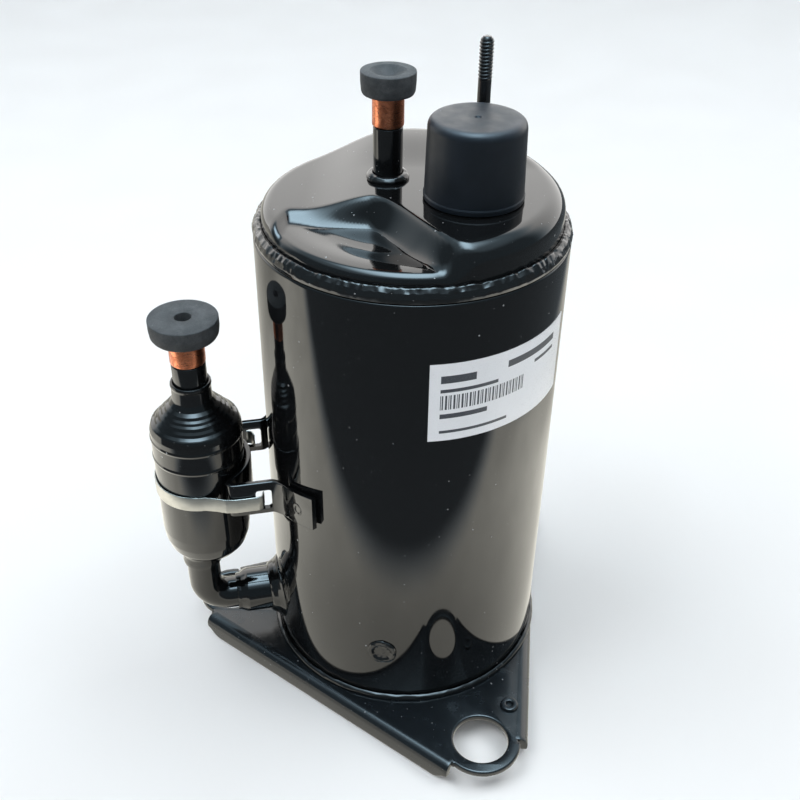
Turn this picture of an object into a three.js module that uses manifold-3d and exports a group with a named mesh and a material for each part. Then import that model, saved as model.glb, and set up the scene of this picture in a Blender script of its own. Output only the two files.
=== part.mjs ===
import * as THREE from 'three';
import { mergeVertices } from 'three/addons/utils/BufferGeometryUtils.js';
import Module from 'manifold-3d';

const wasm = await Module();
wasm.setup();

// Rotary compressor, millimetres, +Z up. The origin is on the shell's axis, in the plane the base stands on.
// Main casing
const SHELL_R = 59;
const SHELL_WALL = 3;
const SHELL_BOTTOM = 10.5;
const SHELL_TOP = 204.5;
const FIT_GAP = 0.3;
const CAP_R = SHELL_R - SHELL_WALL - FIT_GAP;
const CAP_WALL = 3;
const CAP_SKIRT_BOTTOM = 196;
const PLUG_WELD_AZ = [-98.6, 21.4, 141.4];
const PLUG_WELD_Z = 38;
// Top cap: a high field that rises a little at the rear, a sloping left side, and a lower dished
// crescent ledge at the front left
const PLATEAU_Z = 222;
const REAR_RISE = 2;
const LEFT_DROP = 5.8;
const LEDGE_Z = 213.5;
const LEDGE_DISH = 1.2;
const LEDGE_WALL = 8;
const LEDGE_RIM = 3.2;
const PLATEAU_RIM = 7;
// Base plate
const PLATE_TOP = 10.2;
const PLATE_T = 3;
// A foot is [azimuth of its hole, distance of the hole from the axis, radius of its lobe]
const FEET = [[-67.4, 86, 16.6], [56, 86, 16.6], [178, 82.6, 14.8]];
const FOOT_HOLE_R = 11.4;
const BASE_DISC_R = 66;
const BASE_WELL_R = 40;
const BEND_R = 4;
const BOSS = [46, -62];
// Discharge line and terminal
const DISCHARGE = [-9.4, 5];
const TERMINAL = [21.5, -11];
const STUD = [24.6, 13.5];
// Accumulator, on the line through the suction port
const SUCTION_AZ = 193.24;
const ACC_DIST = 87.3;
const ACC_R = 18.2;
const SUCTION_Z = 30.7;
const PIPE_R = 7;
const PIPE_DIST = ACC_DIST + 3.8;
const ELBOW_R = 10.5;
const BRACKET_LOW = 93.5;
const BRACKET_HIGH = 109.3;
const BAND_LOW = 96.2;
const BAND_HIGH = 103;
// Pump
const CYL_LOW = 20;
const CYL_HIGH = 42;
const CYL_R = 55.6;
const BORE_R = 27;
const CRANK_E = 4.5;
const ROLLER_R = 22.3;
const VANE_AZ = SUCTION_AZ + 30;
const CRANK_AZ = VANE_AZ + 135;
const BEARING_TOP = 49;
const BOLT_CIRCLE_R = 34.2;
const BOLT_AZ = [45, 120, 195, 270].map((a) => VANE_AZ + a);
const PORT_R = 22.8;
const PORT_AZ = VANE_AZ + 22;
const RIVET_AZ = VANE_AZ + 78;
const PADDLE_TWIST = 5;
// Motor
const STATOR_LOW = 96;
const STATOR_HIGH = 160;
const STATOR_BORE = 33;
const SLOT_IN_R = 36;
const SLOT_OUT_R = 46;
const ROTOR_R = 32.4;
const SHAFT_R = 8;

const rad = (deg) => deg * Math.PI / 180;
const polar = (r, deg) => [r * Math.cos(rad(deg)), r * Math.sin(rad(deg))];
const group = new THREE.Group();
group.name = 'rotary_compressor';

// One closed skin with outward faces: shared corners, no slivers of zero area, positive volume
function closed(geometry) {
  const flat = geometry.index ? geometry.toNonIndexed() : geometry.clone();
  flat.deleteAttribute('normal');
  if (flat.attributes.uv) flat.deleteAttribute('uv');
  const merged = mergeVertices(flat, 1e-4);
  const p = merged.attributes.position;
  const keep = [];
  let volume = 0;
  const a = new THREE.Vector3();
  const b = new THREE.Vector3();
  const c = new THREE.Vector3();
  for (let i = 0; i < merged.index.count; i += 3) {
    const t = [0, 1, 2].map((k) => merged.index.getX(i + k));
    if (t[0] === t[1] || t[1] === t[2] || t[0] === t[2]) continue;
    a.fromBufferAttribute(p, t[0]);
    b.fromBufferAttribute(p, t[1]);
    c.fromBufferAttribute(p, t[2]);
    volume += a.dot(b.clone().cross(c));
    keep.push(t);
  }
  if (volume < 0) keep.forEach((t) => t.reverse());
  merged.setIndex(keep.flat());
  return merged;
}

const toSolid = (geometry) => {
  const g = closed(geometry);
  return new wasm.Manifold(new wasm.Mesh({
    numProp: 3,
    vertProperties: new Float32Array(g.attributes.position.array),
    triVerts: new Uint32Array(g.index.array),
  }));
};

const fromSolid = (solid) => {
  const mesh = solid.getMesh();
  const g = new THREE.BufferGeometry();
  g.setAttribute('position', new THREE.BufferAttribute(new Float32Array(mesh.vertProperties), 3));
  g.setIndex(Array.from(mesh.triVerts));
  return g;
};

const cut = (body, ...tools) => fromSolid(tools.reduce((s, t) => s.subtract(toSolid(t)), toSolid(body)));
const join = (body, ...others) => fromSolid(others.reduce((s, t) => s.add(toSolid(t)), toSolid(body)));

function add(name, geometry, color, roughness, metalness) {
  const g = closed(geometry);
  g.computeVertexNormals();
  const mesh = new THREE.Mesh(g, new THREE.MeshStandardMaterial({ color, roughness, metalness }));
  mesh.name = name;
  group.add(mesh);
}

// Turned about a vertical axis at (x, y); the profile is [radius, height] pairs
function lathe(profile, segments, x = 0, y = 0) {
  const ring = profile.map(([r, z]) => new THREE.Vector2(r, z));
  if (profile[0][0] > 0 || profile.at(-1)[0] > 0) ring.push(ring[0].clone());
  return new THREE.LatheGeometry(ring, segments).rotateX(Math.PI / 2).translate(x, y, 0);
}

const cylinder = (r, low, high, segments, x = 0, y = 0) =>
  lathe([[0, low], [r, low], [r, high], [0, high]], segments, x, y);

// Turned about a horizontal axis that leaves the shell's axis at azimuth az and height z;
// the profile is [radius, distance from the shell's axis] pairs
function radialLathe(profile, segments, az, z) {
  return lathe(profile, segments).rotateY(Math.PI / 2).rotateZ(rad(az)).translate(0, 0, z);
}

function prism(points, low, high, holes = []) {
  const shape = new THREE.Shape(points.map(([x, y]) => new THREE.Vector2(x, y)));
  holes.forEach((h) => shape.holes.push(new THREE.Path(h.map(([x, y]) => new THREE.Vector2(x, y)))));
  return new THREE.ExtrudeGeometry(shape, { depth: high - low, bevelEnabled: false, steps: 1 })
    .translate(0, 0, low);
}

const box = (x0, x1, y0, y1, z0, z1) => prism([[x0, y0], [x1, y0], [x1, y1], [x0, y1]], z0, z1);

const arc = (cx, cy, r, from, to, n) => Array.from({ length: n + 1 }, (_, i) => {
  const [x, y] = polar(r, from + (to - from) * i / n);
  return [cx + x, cy + y];
});

// Outline of a strip of even thickness along a line of points
function strip(line, thickness) {
  const left = [];
  const right = [];
  line.forEach((p, i) => {
    const a = line[Math.max(i - 1, 0)];
    const b = line[Math.min(i + 1, line.length - 1)];
    const d = Math.hypot(b[0] - a[0], b[1] - a[1]);
    const n = [-(b[1] - a[1]) / d * thickness / 2, (b[0] - a[0]) / d * thickness / 2];
    left.push([p[0] + n[0], p[1] + n[1]]);
    right.unshift([p[0] - n[0], p[1] - n[1]]);
  });
  return left.concat(right);
}

// A solid round rod along a curve
function sweep(path, r, count, steps) {
  const outline = arc(0, 0, r, 0, 360, count).slice(0, count);
  const shape = new THREE.Shape(outline.map(([x, y]) => new THREE.Vector2(x, y)));
  return new THREE.ExtrudeGeometry(shape, { steps, extrudePath: path, bevelEnabled: false });
}

const BLACK = 0x0b0c0e;
const BASE_BLACK = 0x15181c;
const COPPER = 0xb06a45;
const RUBBER = 0x2b2d30;
const STEEL = 0x9a9a98;
const IRON = 0x55575a;

// ---------- casing ----------
const shellTube = lathe([
  [SHELL_R - SHELL_WALL, SHELL_BOTTOM], [SHELL_R, SHELL_BOTTOM], [SHELL_R, SHELL_TOP - 0.8],
  [SHELL_R - 0.8, SHELL_TOP], [SHELL_R - SHELL_WALL, SHELL_TOP],
], 48);
add('shell_tube', cut(shellTube,
  radialLathe([[0, 50], [10.1, 50], [10.1, 64], [0, 64]], 18, SUCTION_AZ, SUCTION_Z),
  ...PLUG_WELD_AZ.map((az) => radialLathe([[0, 50], [4.3, 50], [4.3, 64], [0, 64]], 10, az, PLUG_WELD_Z)),
), BLACK, 0.12, 0.2);
PLUG_WELD_AZ.forEach((az, i) => {
  const crater = [
    [0, 56.2], [4, 56.2], [4, 59.1], [6.3, 59.1], [5.6, 59.9], [3.6, 59.3], [0, 59.1],
  ];
  add(`plug_weld_${i + 1}`, radialLathe(crater, 12, az, PLUG_WELD_Z), BLACK, 0.3, 0.3);
});

const ease = (t) => {
  const c = Math.min(Math.max(t, 0), 1);
  return c * c * (3 - 2 * c);
};

// Rear edge of the ledge, as y over x
const ledgeEdge = (x) => -11 - 38 * ease((x + 16) / 38) - 20 * ease((-44 - x) / 10);

function capHeight(x, y) {
  const rear = REAR_RISE * ease((y - 14) / 32) * ease((x + 30) / 30);
  const high = PLATEAU_Z + rear - LEFT_DROP * ease((-12 - x) / 28);
  const ledge = LEDGE_Z - LEDGE_DISH * ease((CAP_R - 5 - Math.hypot(x, y)) / 14);
  const slope = (ledgeEdge(x + 0.1) - ledgeEdge(x - 0.1)) / 0.2;
  const low = ease((ledgeEdge(x) - y) / Math.hypot(1, slope) / LEDGE_WALL);
  return high + (ledge - high) * low;
}

// Grid of the cap's skin at a distance inside its outer surface: rings from the crown to the skirt
function capRings(inset, radials, across, round) {
  const rings = [];
  for (let j = 0; j <= across + round + 1; j++) {
    const ring = [];
    for (let i = 0; i < radials; i++) {
      const az = 360 * i / radials;
      const [ex, ey] = polar(CAP_R - 5, az);
      const high = (capHeight(ex, ey) - LEDGE_Z) / (PLATEAU_Z - LEDGE_Z);
      const rim = LEDGE_RIM + (PLATEAU_RIM - LEDGE_RIM) * high;
      const flat = CAP_R - rim;
      let r = flat * Math.sqrt((j + 1) / (across + 1));
      let drop = 0;
      if (j > across) {
        const bend = Math.PI / 2 * Math.min(j - across, round) / round;
        r = flat + (rim - inset) * Math.sin(bend);
        drop = (rim - inset) * (1 - Math.cos(bend));
      }
      const [x, y] = polar(r, az);
      const z = j === across + round + 1 ? CAP_SKIRT_BOTTOM : capHeight(x, y) - inset - drop;
      ring.push([x, y, z]);
    }
    rings.push(ring);
  }
  return rings;
}

function capGeometry(radials, across, round) {
  const outer = capRings(0, radials, across, round);
  const inner = capRings(CAP_WALL, radials, across, round);
  const rings = outer.concat(inner.reverse());
  const pos = [[0, 0, capHeight(0, 0)], ...rings.flat(), [0, 0, capHeight(0, 0) - CAP_WALL]];
  const tris = [];
  const at = (j, i) => 1 + j * radials + i % radials;
  const last = pos.length - 1;
  for (let i = 0; i < radials; i++) {
    tris.push(0, at(0, i), at(0, i + 1));
    tris.push(last, at(rings.length - 1, i + 1), at(rings.length - 1, i));
    for (let j = 0; j < rings.length - 1; j++) {
      tris.push(at(j, i), at(j + 1, i), at(j + 1, i + 1));
      tris.push(at(j, i), at(j + 1, i + 1), at(j, i + 1));
    }
  }
  const g = new THREE.BufferGeometry();
  g.setAttribute('position', new THREE.Float32BufferAttribute(pos.flat(), 3));
  g.setIndex(tris);
  return g;
}
add('top_cap', cut(capGeometry(36, 6, 3),
  cylinder(5.7, 190, 240, 20, ...DISCHARGE),
  cylinder(11, 190, 240, 24, ...TERMINAL),
), BLACK, 0.1, 0.2);
add('top_weld', lathe([
  [56, 204.9], [58.9, 204.9], [59.2, 206.2], [58.4, 208.6], [57, 210.2], [56, 210.2],
], 40), BLACK, 0.25, 0.3);
add('bottom_cap', lathe([
  [0, 0], [34, 0], [37, 1.6], [39.2, 10.5], [53, 10.5], [55.7, 13], [55.7, 19.6], [52.7, 19.6], [52.7, 15],
  [51.6, 13.6], [40.5, 13.6], [37.6, 12.2], [34.6, 3], [0, 3],
], 24), BLACK, 0.3, 0.2);
add('bottom_weld', lathe([[59.3, 10.5], [61.2, 10.5], [60.5, 11.9], [59.3, 12.8]], 40), BLACK, 0.35, 0.3);

// Base plate: a side is [azimuth of its normal, distance of its face from the axis, flange ends along it]
const sides = [
  [-125.6, 66, [[-66, 70]]],
  [-5.7, 60.5, [[-74, 74]]],
  [110, 47.3, [[55, 70]]],
  [117.65, 51, [[-63, -50]]],
];
const feet = FEET.map(([az, dist, lobe]) => [...polar(dist, az), lobe]);
const plateLow = PLATE_TOP - PLATE_T;
let plate = toSolid(cylinder(BASE_DISC_R, plateLow, PLATE_TOP, 48));
feet.forEach(([x, y, lobe]) => {
  plate = plate.add(toSolid(cylinder(lobe, plateLow, PLATE_TOP, 28, x, y)));
});
const side = (geometry, az) => toSolid(geometry.rotateZ(rad(az)));
sides.forEach(([az, dist, runs]) => {
  runs.forEach(([a, b]) => {
    plate = plate.add(side(box(0, dist - BEND_R, a, b, plateLow, PLATE_TOP), az));
    plate = plate.subtract(side(box(dist - BEND_R, dist + 30, a - 1, b + 1, 0, 20), az));
    const out = dist - BEND_R;
    const mid = PLATE_TOP - BEND_R;
    const bend = prism([
      [out - 1, PLATE_TOP], ...arc(out, mid, BEND_R, 90, 0, 4), ...arc(out, mid, BEND_R - PLATE_T, 0, 90, 2),
      [out - 1, plateLow],
    ], a, b);
    plate = plate.add(side(bend.rotateX(Math.PI / 2).translate(0, a + b, 0), az));
    const end = Math.min(8, (b - a) * 0.4);
    const web = prism([
      [a + 1.2, mid + 0.5], [a, mid - 1], [a + 0.4, 3.4], [a + end / 2, 0.4], [a + end, 0],
      [b - end, 0], [b - end / 2, 0.4], [b - 0.4, 3.4], [b, mid - 1], [b - 1.2, mid + 0.5],
    ], dist - PLATE_T, dist);
    plate = plate.add(side(web.rotateX(Math.PI / 2).rotateZ(Math.PI / 2), az));
  });
});
plate = plate.subtract(toSolid(cylinder(BASE_WELL_R, 0, 20, 36)));
feet.forEach(([x, y]) => {
  plate = plate.subtract(toSolid(cylinder(FOOT_HOLE_R, 0, 20, 24, x, y)));
});
plate = plate.add(toSolid(lathe([[0, 9], [3.8, 9], [3.8, 10.2], [3.4, 11.7], [0, 11.7]], 16, ...BOSS)));
plate = plate.subtract(toSolid(cylinder(1.4, 0, 20, 10, ...BOSS)));
add('base_plate', fromSolid(plate), BASE_BLACK, 0.35, 0.2);

// Label wrapped on the right of the shell
const labelArc = arc(0, 0, SHELL_R + 0.25, -83.2, -20, 20).concat(arc(0, 0, SHELL_R + 0.06, -20, -83.2, 20));
add('label', prism(labelArc, 149, 181.5), 0xe9eaec, 0.45, 0);

// Threaded stud that holds the terminal cover's strap
const stud = [[0, 222.3], [2.4, 222.3], [2.4, 256]];
for (let z = 256.4; z < 268; z += 1.5) stud.push([2.55, z], [2.05, z + 0.75]);
stud.push([1.7, 269], [1.6, 271], [0, 271]);
add('cover_stud', lathe(stud, 10, ...STUD), 0x17181a, 0.4, 0.6);

// ---------- discharge line ----------
add('discharge_tube', lathe([
  [4.2, 206], [5.4, 206], [5.4, 241.5], [4.2, 241.5],
], 18, ...DISCHARGE), BLACK, 0.15, 0.2);
add('discharge_weld', lathe([
  [5.7, 222.2], [7.6, 222.2], [7.7, 223], [7, 224], [6, 224.4], [5.7, 224.2],
], 24, ...DISCHARGE), BLACK, 0.2, 0.3);
add('discharge_stub', lathe([
  [3.9, 236], [3.9, 241.8], [5.75, 241.8], [5.75, 254.4], [4.75, 254.4], [4.75, 242.6], [3.2, 242.4],
  [3.2, 236],
], 16, ...DISCHARGE), COPPER, 0.35, 0.9);
add('discharge_plug', lathe([
  [0, 248.4], [4.5, 248.4], [4.5, 254.7], [6.05, 254.7], [6.05, 253.2], [9.2, 253.2], [9.6, 254],
  [9.9, 257.4], [9.9, 261], [9.6, 261.3], [6.6, 261.3], [1, 258.2], [0, 258.2],
], 20, ...DISCHARGE), RUBBER, 0.8, 0);

// ---------- terminal ----------
add('terminal_cover', lathe([
  [15.8, 222.3], [18.1, 222.3], [17.4, 247.3], [16.6, 249.7], [14.5, 251], [1.4, 251], [1, 250.5],
  [0, 250.5], [0, 248.7], [13.4, 248.7], [14.8, 247.5], [15.2, 246.1],
], 28, ...TERMINAL), 0x1b212b, 0.5, 0);
add('terminal_gasket', lathe([[12.4, 222.2], [14.8, 222.2], [14.8, 223], [12.4, 223]], 24, ...TERMINAL),
  RUBBER, 0.8, 0);
add('terminal_body', lathe([
  [7.3, 216], [13, 216], [13, 218.6], [10.7, 218.6], [10.7, 223.6], [7.3, 223.6],
], 20, ...TERMINAL), STEEL, 0.35, 0.8);
const pins = [90, 210, 330].map((az) => polar(4.2, az)).map(([x, y]) => [TERMINAL[0] + x, TERMINAL[1] + y]);
add('terminal_glass', cut(cylinder(7, 216.6, 222.4, 16, ...TERMINAL),
  ...pins.map(([x, y]) => cylinder(1.5, 210, 230, 10, x, y))), 0x35505a, 0.2, 0);
pins.forEach(([x, y], i) => {
  const pin = [[0, 207], [1.2, 207], [1.2, 235], [0.7, 236.4], [0, 236.6]];
  add(`terminal_pin_${i + 1}`, lathe(pin, 8, x, y), STEEL, 0.3, 0.9);
});
add('lead_connector', cut(cylinder(9, 202, 209.4, 16, ...TERMINAL),
  ...pins.map(([x, y]) => cylinder(1.6, 205, 215, 8, x, y))), 0xd9d2c0, 0.6, 0);
const v3 = (x, y, z) => new THREE.Vector3(x, y, z);
const leadCurve = new THREE.CubicBezierCurve3(
  v3(21.5, -11, 201.6), v3(21.5, -12, 192), v3(36, -26, 198), v3(36, -26, 181.6),
);
add('motor_lead', sweep(leadCurve, 2.1, 8, 10), 0x7a2f26, 0.6, 0);

// ---------- accumulator, built on the +X line and turned to the suction azimuth ----------
const turn = (geometry) => geometry.rotateZ(rad(SUCTION_AZ));
const acc = (profile, segments) => turn(lathe(profile, segments, ACC_DIST, 0));
const R = ACC_R;
const canProfile = [
  [0, 60.6], [9.4, 61], [12.9, 62.9], [16, 66.8], [17.6, 71.6], [R, 76.6],
  [R, 113.4], [R + 0.35, 114.2], [R, 115], [R, 122.3], [R + 0.35, 123.1], [R, 123.9], [R, 126.2],
  [17.3, 129.4], [15.6, 131], [14.4, 132.8], [12.4, 134.4], [11.1, 136], [9, 137.6],
  [7.9, 139.4], [7.8, 144.8], [8.1, 146], [7.8, 147.2], [6.95, 147.2], [6.95, 137.8],
  [16.6, 124.6], [16.6, 73.6], [12.2, 64.8], [0, 63],
];
add('accumulator_shell', turn(cut(
  join(lathe(canProfile, 26, ACC_DIST, 0), cylinder(8.3, 53.6, 62.4, 20, PIPE_DIST, 0)),
  cylinder(PIPE_R + 0.3, 50, 70, 20, PIPE_DIST, 0),
)), BLACK, 0.12, 0.2);
add('accumulator_inlet', acc([[5.4, 141], [6.7, 141], [6.7, 155.8], [5.4, 155.8]], 20), BLACK, 0.15, 0.2);
add('accumulator_stub', acc([
  [4.1, 149], [5.1, 149], [5.1, 156.1], [6.9, 156.1], [6.9, 168.2], [5.7, 168.2], [5.7, 157.4], [4.1, 156.6],
], 16), COPPER, 0.35, 0.9);
add('suction_plug', acc([
  [0, 162.4], [5.4, 162.4], [5.4, 168.5], [7.2, 168.5], [7.2, 167.4], [12.3, 167.4], [12.9, 168.2],
  [13.4, 171.4], [13.4, 175.2], [13, 175.6], [3.2, 175.6], [2.8, 170], [0, 170],
], 24), RUBBER, 0.8, 0);
add('strainer', acc([
  [0, 117], [8, 117.6], [16.3, 122.6], [16.3, 124], [15.6, 124], [8, 118.4], [0, 117.8],
], 18), STEEL, 0.5, 0.8);
add('baffle', turn(cut(cylinder(16.3, 107, 108, 28, ACC_DIST, 0),
  ...[60, 180, 300].map((az) => {
    const [x, y] = polar(11, az);
    return cylinder(3, 100, 115, 10, ACC_DIST + x, y);
  }))), STEEL, 0.4, 0.8);
const elbowTop = SUCTION_Z + ELBOW_R;
const elbowSteps = Array.from({ length: 7 }, (_, i) => rad(15 * i));
const bendPoint = (t) => v3(PIPE_DIST - ELBOW_R + ELBOW_R * Math.cos(t), 0, elbowTop - ELBOW_R * Math.sin(t));
const pipeLine = [v3(PIPE_DIST, 0, 98), ...elbowSteps.map(bendPoint), v3(44, 0, SUCTION_Z)];

// A round tube through a line of points: one ring of corners at each point, square to the line there
function tube(line, outer, inner, count) {
  const pos = [];
  const tris = [];
  line.forEach((p, j) => {
    const a = line[Math.max(j - 1, 0)];
    const b = line[Math.min(j + 1, line.length - 1)];
    const ahead = b.clone().sub(p).normalize();
    const behind = p.clone().sub(a).normalize();
    const dir = ahead.add(behind).normalize();
    const u = v3(0, 1, 0);
    const w = dir.clone().cross(u).normalize();
    for (const r of [outer, inner]) {
      for (let i = 0; i < count; i++) {
        const t = 2 * Math.PI * i / count;
        const q = p.clone().addScaledVector(u, r * Math.cos(t)).addScaledVector(w, r * Math.sin(t));
        pos.push(q.x, q.y, q.z);
      }
    }
  });
  const at = (j, k, i) => (2 * j + k) * count + i % count;
  const quad = (a, b, c, d) => tris.push(a, b, c, a, c, d);
  const end = line.length - 1;
  for (let i = 0; i < count; i++) {
    for (let j = 0; j < end; j++) {
      quad(at(j, 0, i), at(j, 0, i + 1), at(j + 1, 0, i + 1), at(j + 1, 0, i));
      quad(at(j, 1, i), at(j + 1, 1, i), at(j + 1, 1, i + 1), at(j, 1, i + 1));
    }
    quad(at(0, 0, i), at(0, 1, i), at(0, 1, i + 1), at(0, 0, i + 1));
    quad(at(end, 0, i), at(end, 0, i + 1), at(end, 1, i + 1), at(end, 1, i));
  }
  const g = new THREE.BufferGeometry();
  g.setAttribute('position', new THREE.Float32BufferAttribute(pos, 3));
  g.setIndex(tris);
  return g;
}
add('suction_pipe', turn(tube(pipeLine, PIPE_R, 5.8, 14)), BLACK, 0.15, 0.2);
add('suction_sleeve', radialLathe([
  [7.3, 55.9], [9.8, 55.9], [9.8, 73.6], [9.2, 74.4], [8, 77.2], [7.3, 77.2],
], 22, SUCTION_AZ, SUCTION_Z), BLACK, 0.15, 0.2);
const collarProfile = [[10.1, 55], [14.6, 55], [14.6, 59.8], [12.4, 61.6], [11, 63.8], [10.1, 63.8]];
add('suction_collar', cut(
  radialLathe(collarProfile, 22, SUCTION_AZ, SUCTION_Z),
  cylinder(SHELL_R + 0.25, 0, 60, 64),
), BLACK, 0.2, 0.3);

// Bracket: welded tabs on the shell, arms with square holes, and a saddle against the accumulator
const armOut = (s) => [[76, 17], [77.6, 18.8], [76.4, 20.6], [74, 20.9], [60, 20.9], [58.4, 21.8]]
  .map(([x, y]) => [x, s * y]);
const tab = (s) => [24.6, 30, 36, 41.4].map((a, i) => polar(60.6 + 0.3 * i, s * a));
const bracketLine = [
  ...tab(1).reverse(), ...armOut(1).reverse(), ...arc(ACC_DIST, 0, ACC_R + 1.5, 128, 232, 12),
  ...armOut(-1), ...tab(-1),
];
const bracket = cut(prism(strip(bracketLine, 2.2), BRACKET_LOW, BRACKET_HIGH),
  box(60.4, 67, 18, 24, BAND_LOW - 0.5, 105.6), box(60.4, 67, -24, -18, BAND_LOW - 0.5, 105.6));
const bracketPos = bracket.attributes.position;
for (let i = 0; i < bracketPos.count; i++) {
  const rise = 0.28 * Math.max(0, Math.abs(bracketPos.getY(i)) - 24.5);
  bracketPos.setZ(i, bracketPos.getZ(i) + rise);
}
add('accumulator_bracket', turn(bracket), BLACK, 0.25, 0.3);

const bandEnd = (s) => [[83, 20.2], [79, 22], [75, 22.7], [66, 22.7], [64.4, 22], [63.7, 19.2]]
  .map(([x, y]) => [x, s * y]);
const bandLine = [...bandEnd(-1).reverse(), ...arc(ACC_DIST, 0, ACC_R + 0.55, -90, 90, 24), ...bandEnd(1)];
add('accumulator_band', turn(prism(strip(bandLine, 0.6), BAND_LOW, BAND_HIGH)), 0xa9a69c, 0.35, 0.9);

// ---------- motor ----------
const slots = [];
for (let i = 0; i < 12; i++) {
  const az = 30 * i;
  slots.push(polar(STATOR_BORE, az - 12.6), polar(STATOR_BORE, az - 2));
  slots.push(polar(SLOT_IN_R, az - 2), polar(SLOT_IN_R, az - 9), polar(SLOT_OUT_R, az - 10));
  slots.push(polar(SLOT_OUT_R, az + 10), polar(SLOT_IN_R, az + 9), polar(SLOT_IN_R, az + 2));
  slots.push(polar(STATOR_BORE, az + 2), polar(STATOR_BORE, az + 12.6));
}
add('stator_core', prism(arc(0, 0, CAP_R, 0, 360, 48).slice(0, 48), STATOR_LOW, STATOR_HIGH, [slots]),
  IRON, 0.5, 0.8);
const winding = (a, b) => lathe([[36, a], [51, a], [52, a + (b - a) * 0.6], [48, b], [40, b]], 28);
add('winding_upper', winding(STATOR_HIGH + 0.3, 181), 0x8e4a26, 0.45, 0.5);
add('winding_lower', winding(STATOR_LOW - 0.3, 76), 0x8e4a26, 0.45, 0.5);
add('rotor_core', lathe([[8.2, 98], [ROTOR_R, 98], [ROTOR_R, 158], [8.2, 158]], 32), IRON, 0.45, 0.8);
add('rotor_ring_upper', lathe([[19, 158.2], [31, 158.2], [31, 162], [19, 162]], 24), 0xb5b8ba, 0.4, 0.9);
add('rotor_ring_lower', lathe([[19, 94], [31, 94], [31, 97.8], [19, 97.8]], 24), 0xb5b8ba, 0.4, 0.9);
const weight = (az, low, high) => prism(
  arc(0, 0, 30, az - 80, az + 80, 16).concat(arc(0, 0, 20, az + 80, az - 80, 12)), low, high);
add('balance_weight_upper', weight(CRANK_AZ + 180, 162.2, 168), 0xb08d4a, 0.4, 0.9);
add('balance_weight_lower', weight(CRANK_AZ, 88, 93.8), 0xb08d4a, 0.4, 0.9);

// ---------- pump ----------
const [crankX, crankY] = polar(CRANK_E, CRANK_AZ);
add('crankshaft', cut(
  join(cylinder(SHAFT_R, 6, 161, 28), cylinder(15.5, CYL_LOW + 1, CYL_HIGH - 1, 36, crankX, crankY)),
  cylinder(3.4, 0, 60, 14)), STEEL, 0.3, 0.9);
const paddle = new THREE.BoxGeometry(5.4, 1.1, 34, 1, 1, 12).translate(0, 0, 24);
const paddlePos = paddle.attributes.position;
for (let i = 0; i < paddlePos.count; i++) {
  const t = rad((paddlePos.getZ(i) - 7) * PADDLE_TWIST);
  const [x, y] = [paddlePos.getX(i), paddlePos.getY(i)];
  paddlePos.setXY(i, x * Math.cos(t) - y * Math.sin(t), x * Math.sin(t) + y * Math.cos(t));
}
add('oil_paddle', paddle, STEEL, 0.4, 0.8);

const boltAt = BOLT_AZ.map((az) => polar(BOLT_CIRCLE_R, az));
const boltHoles = (low, high) => boltAt.map(([x, y]) => cylinder(2.9, low, high, 8, x, y));
const portAt = polar(PORT_R, PORT_AZ);
const rivetAt = polar(PORT_R, RIVET_AZ);
add('main_bearing', cut(
  lathe([[8.25, 42.3], [39, 42.3], [39, BEARING_TOP], [17, BEARING_TOP], [14, 53], [14, 80], [8.25, 80]], 24),
  ...boltHoles(40, 52), cylinder(3, 40, 52, 14, ...portAt), cylinder(1.9, 40, 52, 10, ...rivetAt),
), IRON, 0.5, 0.8);
const vaneTurn = (geometry) => geometry.rotateZ(rad(VANE_AZ));
add('cylinder', cut(
  lathe([[BORE_R, CYL_LOW], [CYL_R, CYL_LOW], [CYL_R, CYL_HIGH], [BORE_R, CYL_HIGH]], 36),
  ...boltHoles(10, 50),
  vaneTurn(box(20, 47.7, -2.5, 2.5, 10, 50)),
  radialLathe([[0, 40], [2.9, 40], [2.9, 60], [0, 60]], 12, VANE_AZ, 31),
  radialLathe([[0, 20], [7.3, 20], [7.3, 60], [0, 60]], 20, SUCTION_AZ, SUCTION_Z),
  ...[75, 155, 235].map((a) => cylinder(6, 10, 50, 16, ...polar(45.5, VANE_AZ + a))),
), IRON, 0.5, 0.8);
add('sub_bearing', cut(
  lathe([[8.25, 7], [13, 7], [13, 14.4], [39, 14.4], [39, 19.7], [8.25, 19.7]], 24),
  ...boltHoles(10, 25)), IRON, 0.5, 0.8);
add('roller', lathe([[15.9, 20.4], [ROLLER_R, 20.4], [ROLLER_R, 41.6], [15.9, 41.6]], 40, crankX, crankY),
  STEEL, 0.25, 0.9);
add('vane', vaneTurn(prism(
  [...arc(29.5, 0, 2.3, 270, 90, 6), [47.2, 2.3], [47.2, -2.3]], 20.4, 41.6)), STEEL, 0.3, 0.9);

class Coil extends THREE.Curve {
  getPoint(t) {
    const a = 2 * Math.PI * 4 * t;
    return v3(48.4 + 6.2 * t, 1.9 * Math.cos(a), 31 + 1.9 * Math.sin(a));
  }
}
add('vane_spring', vaneTurn(sweep(new Coil(), 0.4, 4, 36)), STEEL, 0.3, 0.9);

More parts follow.
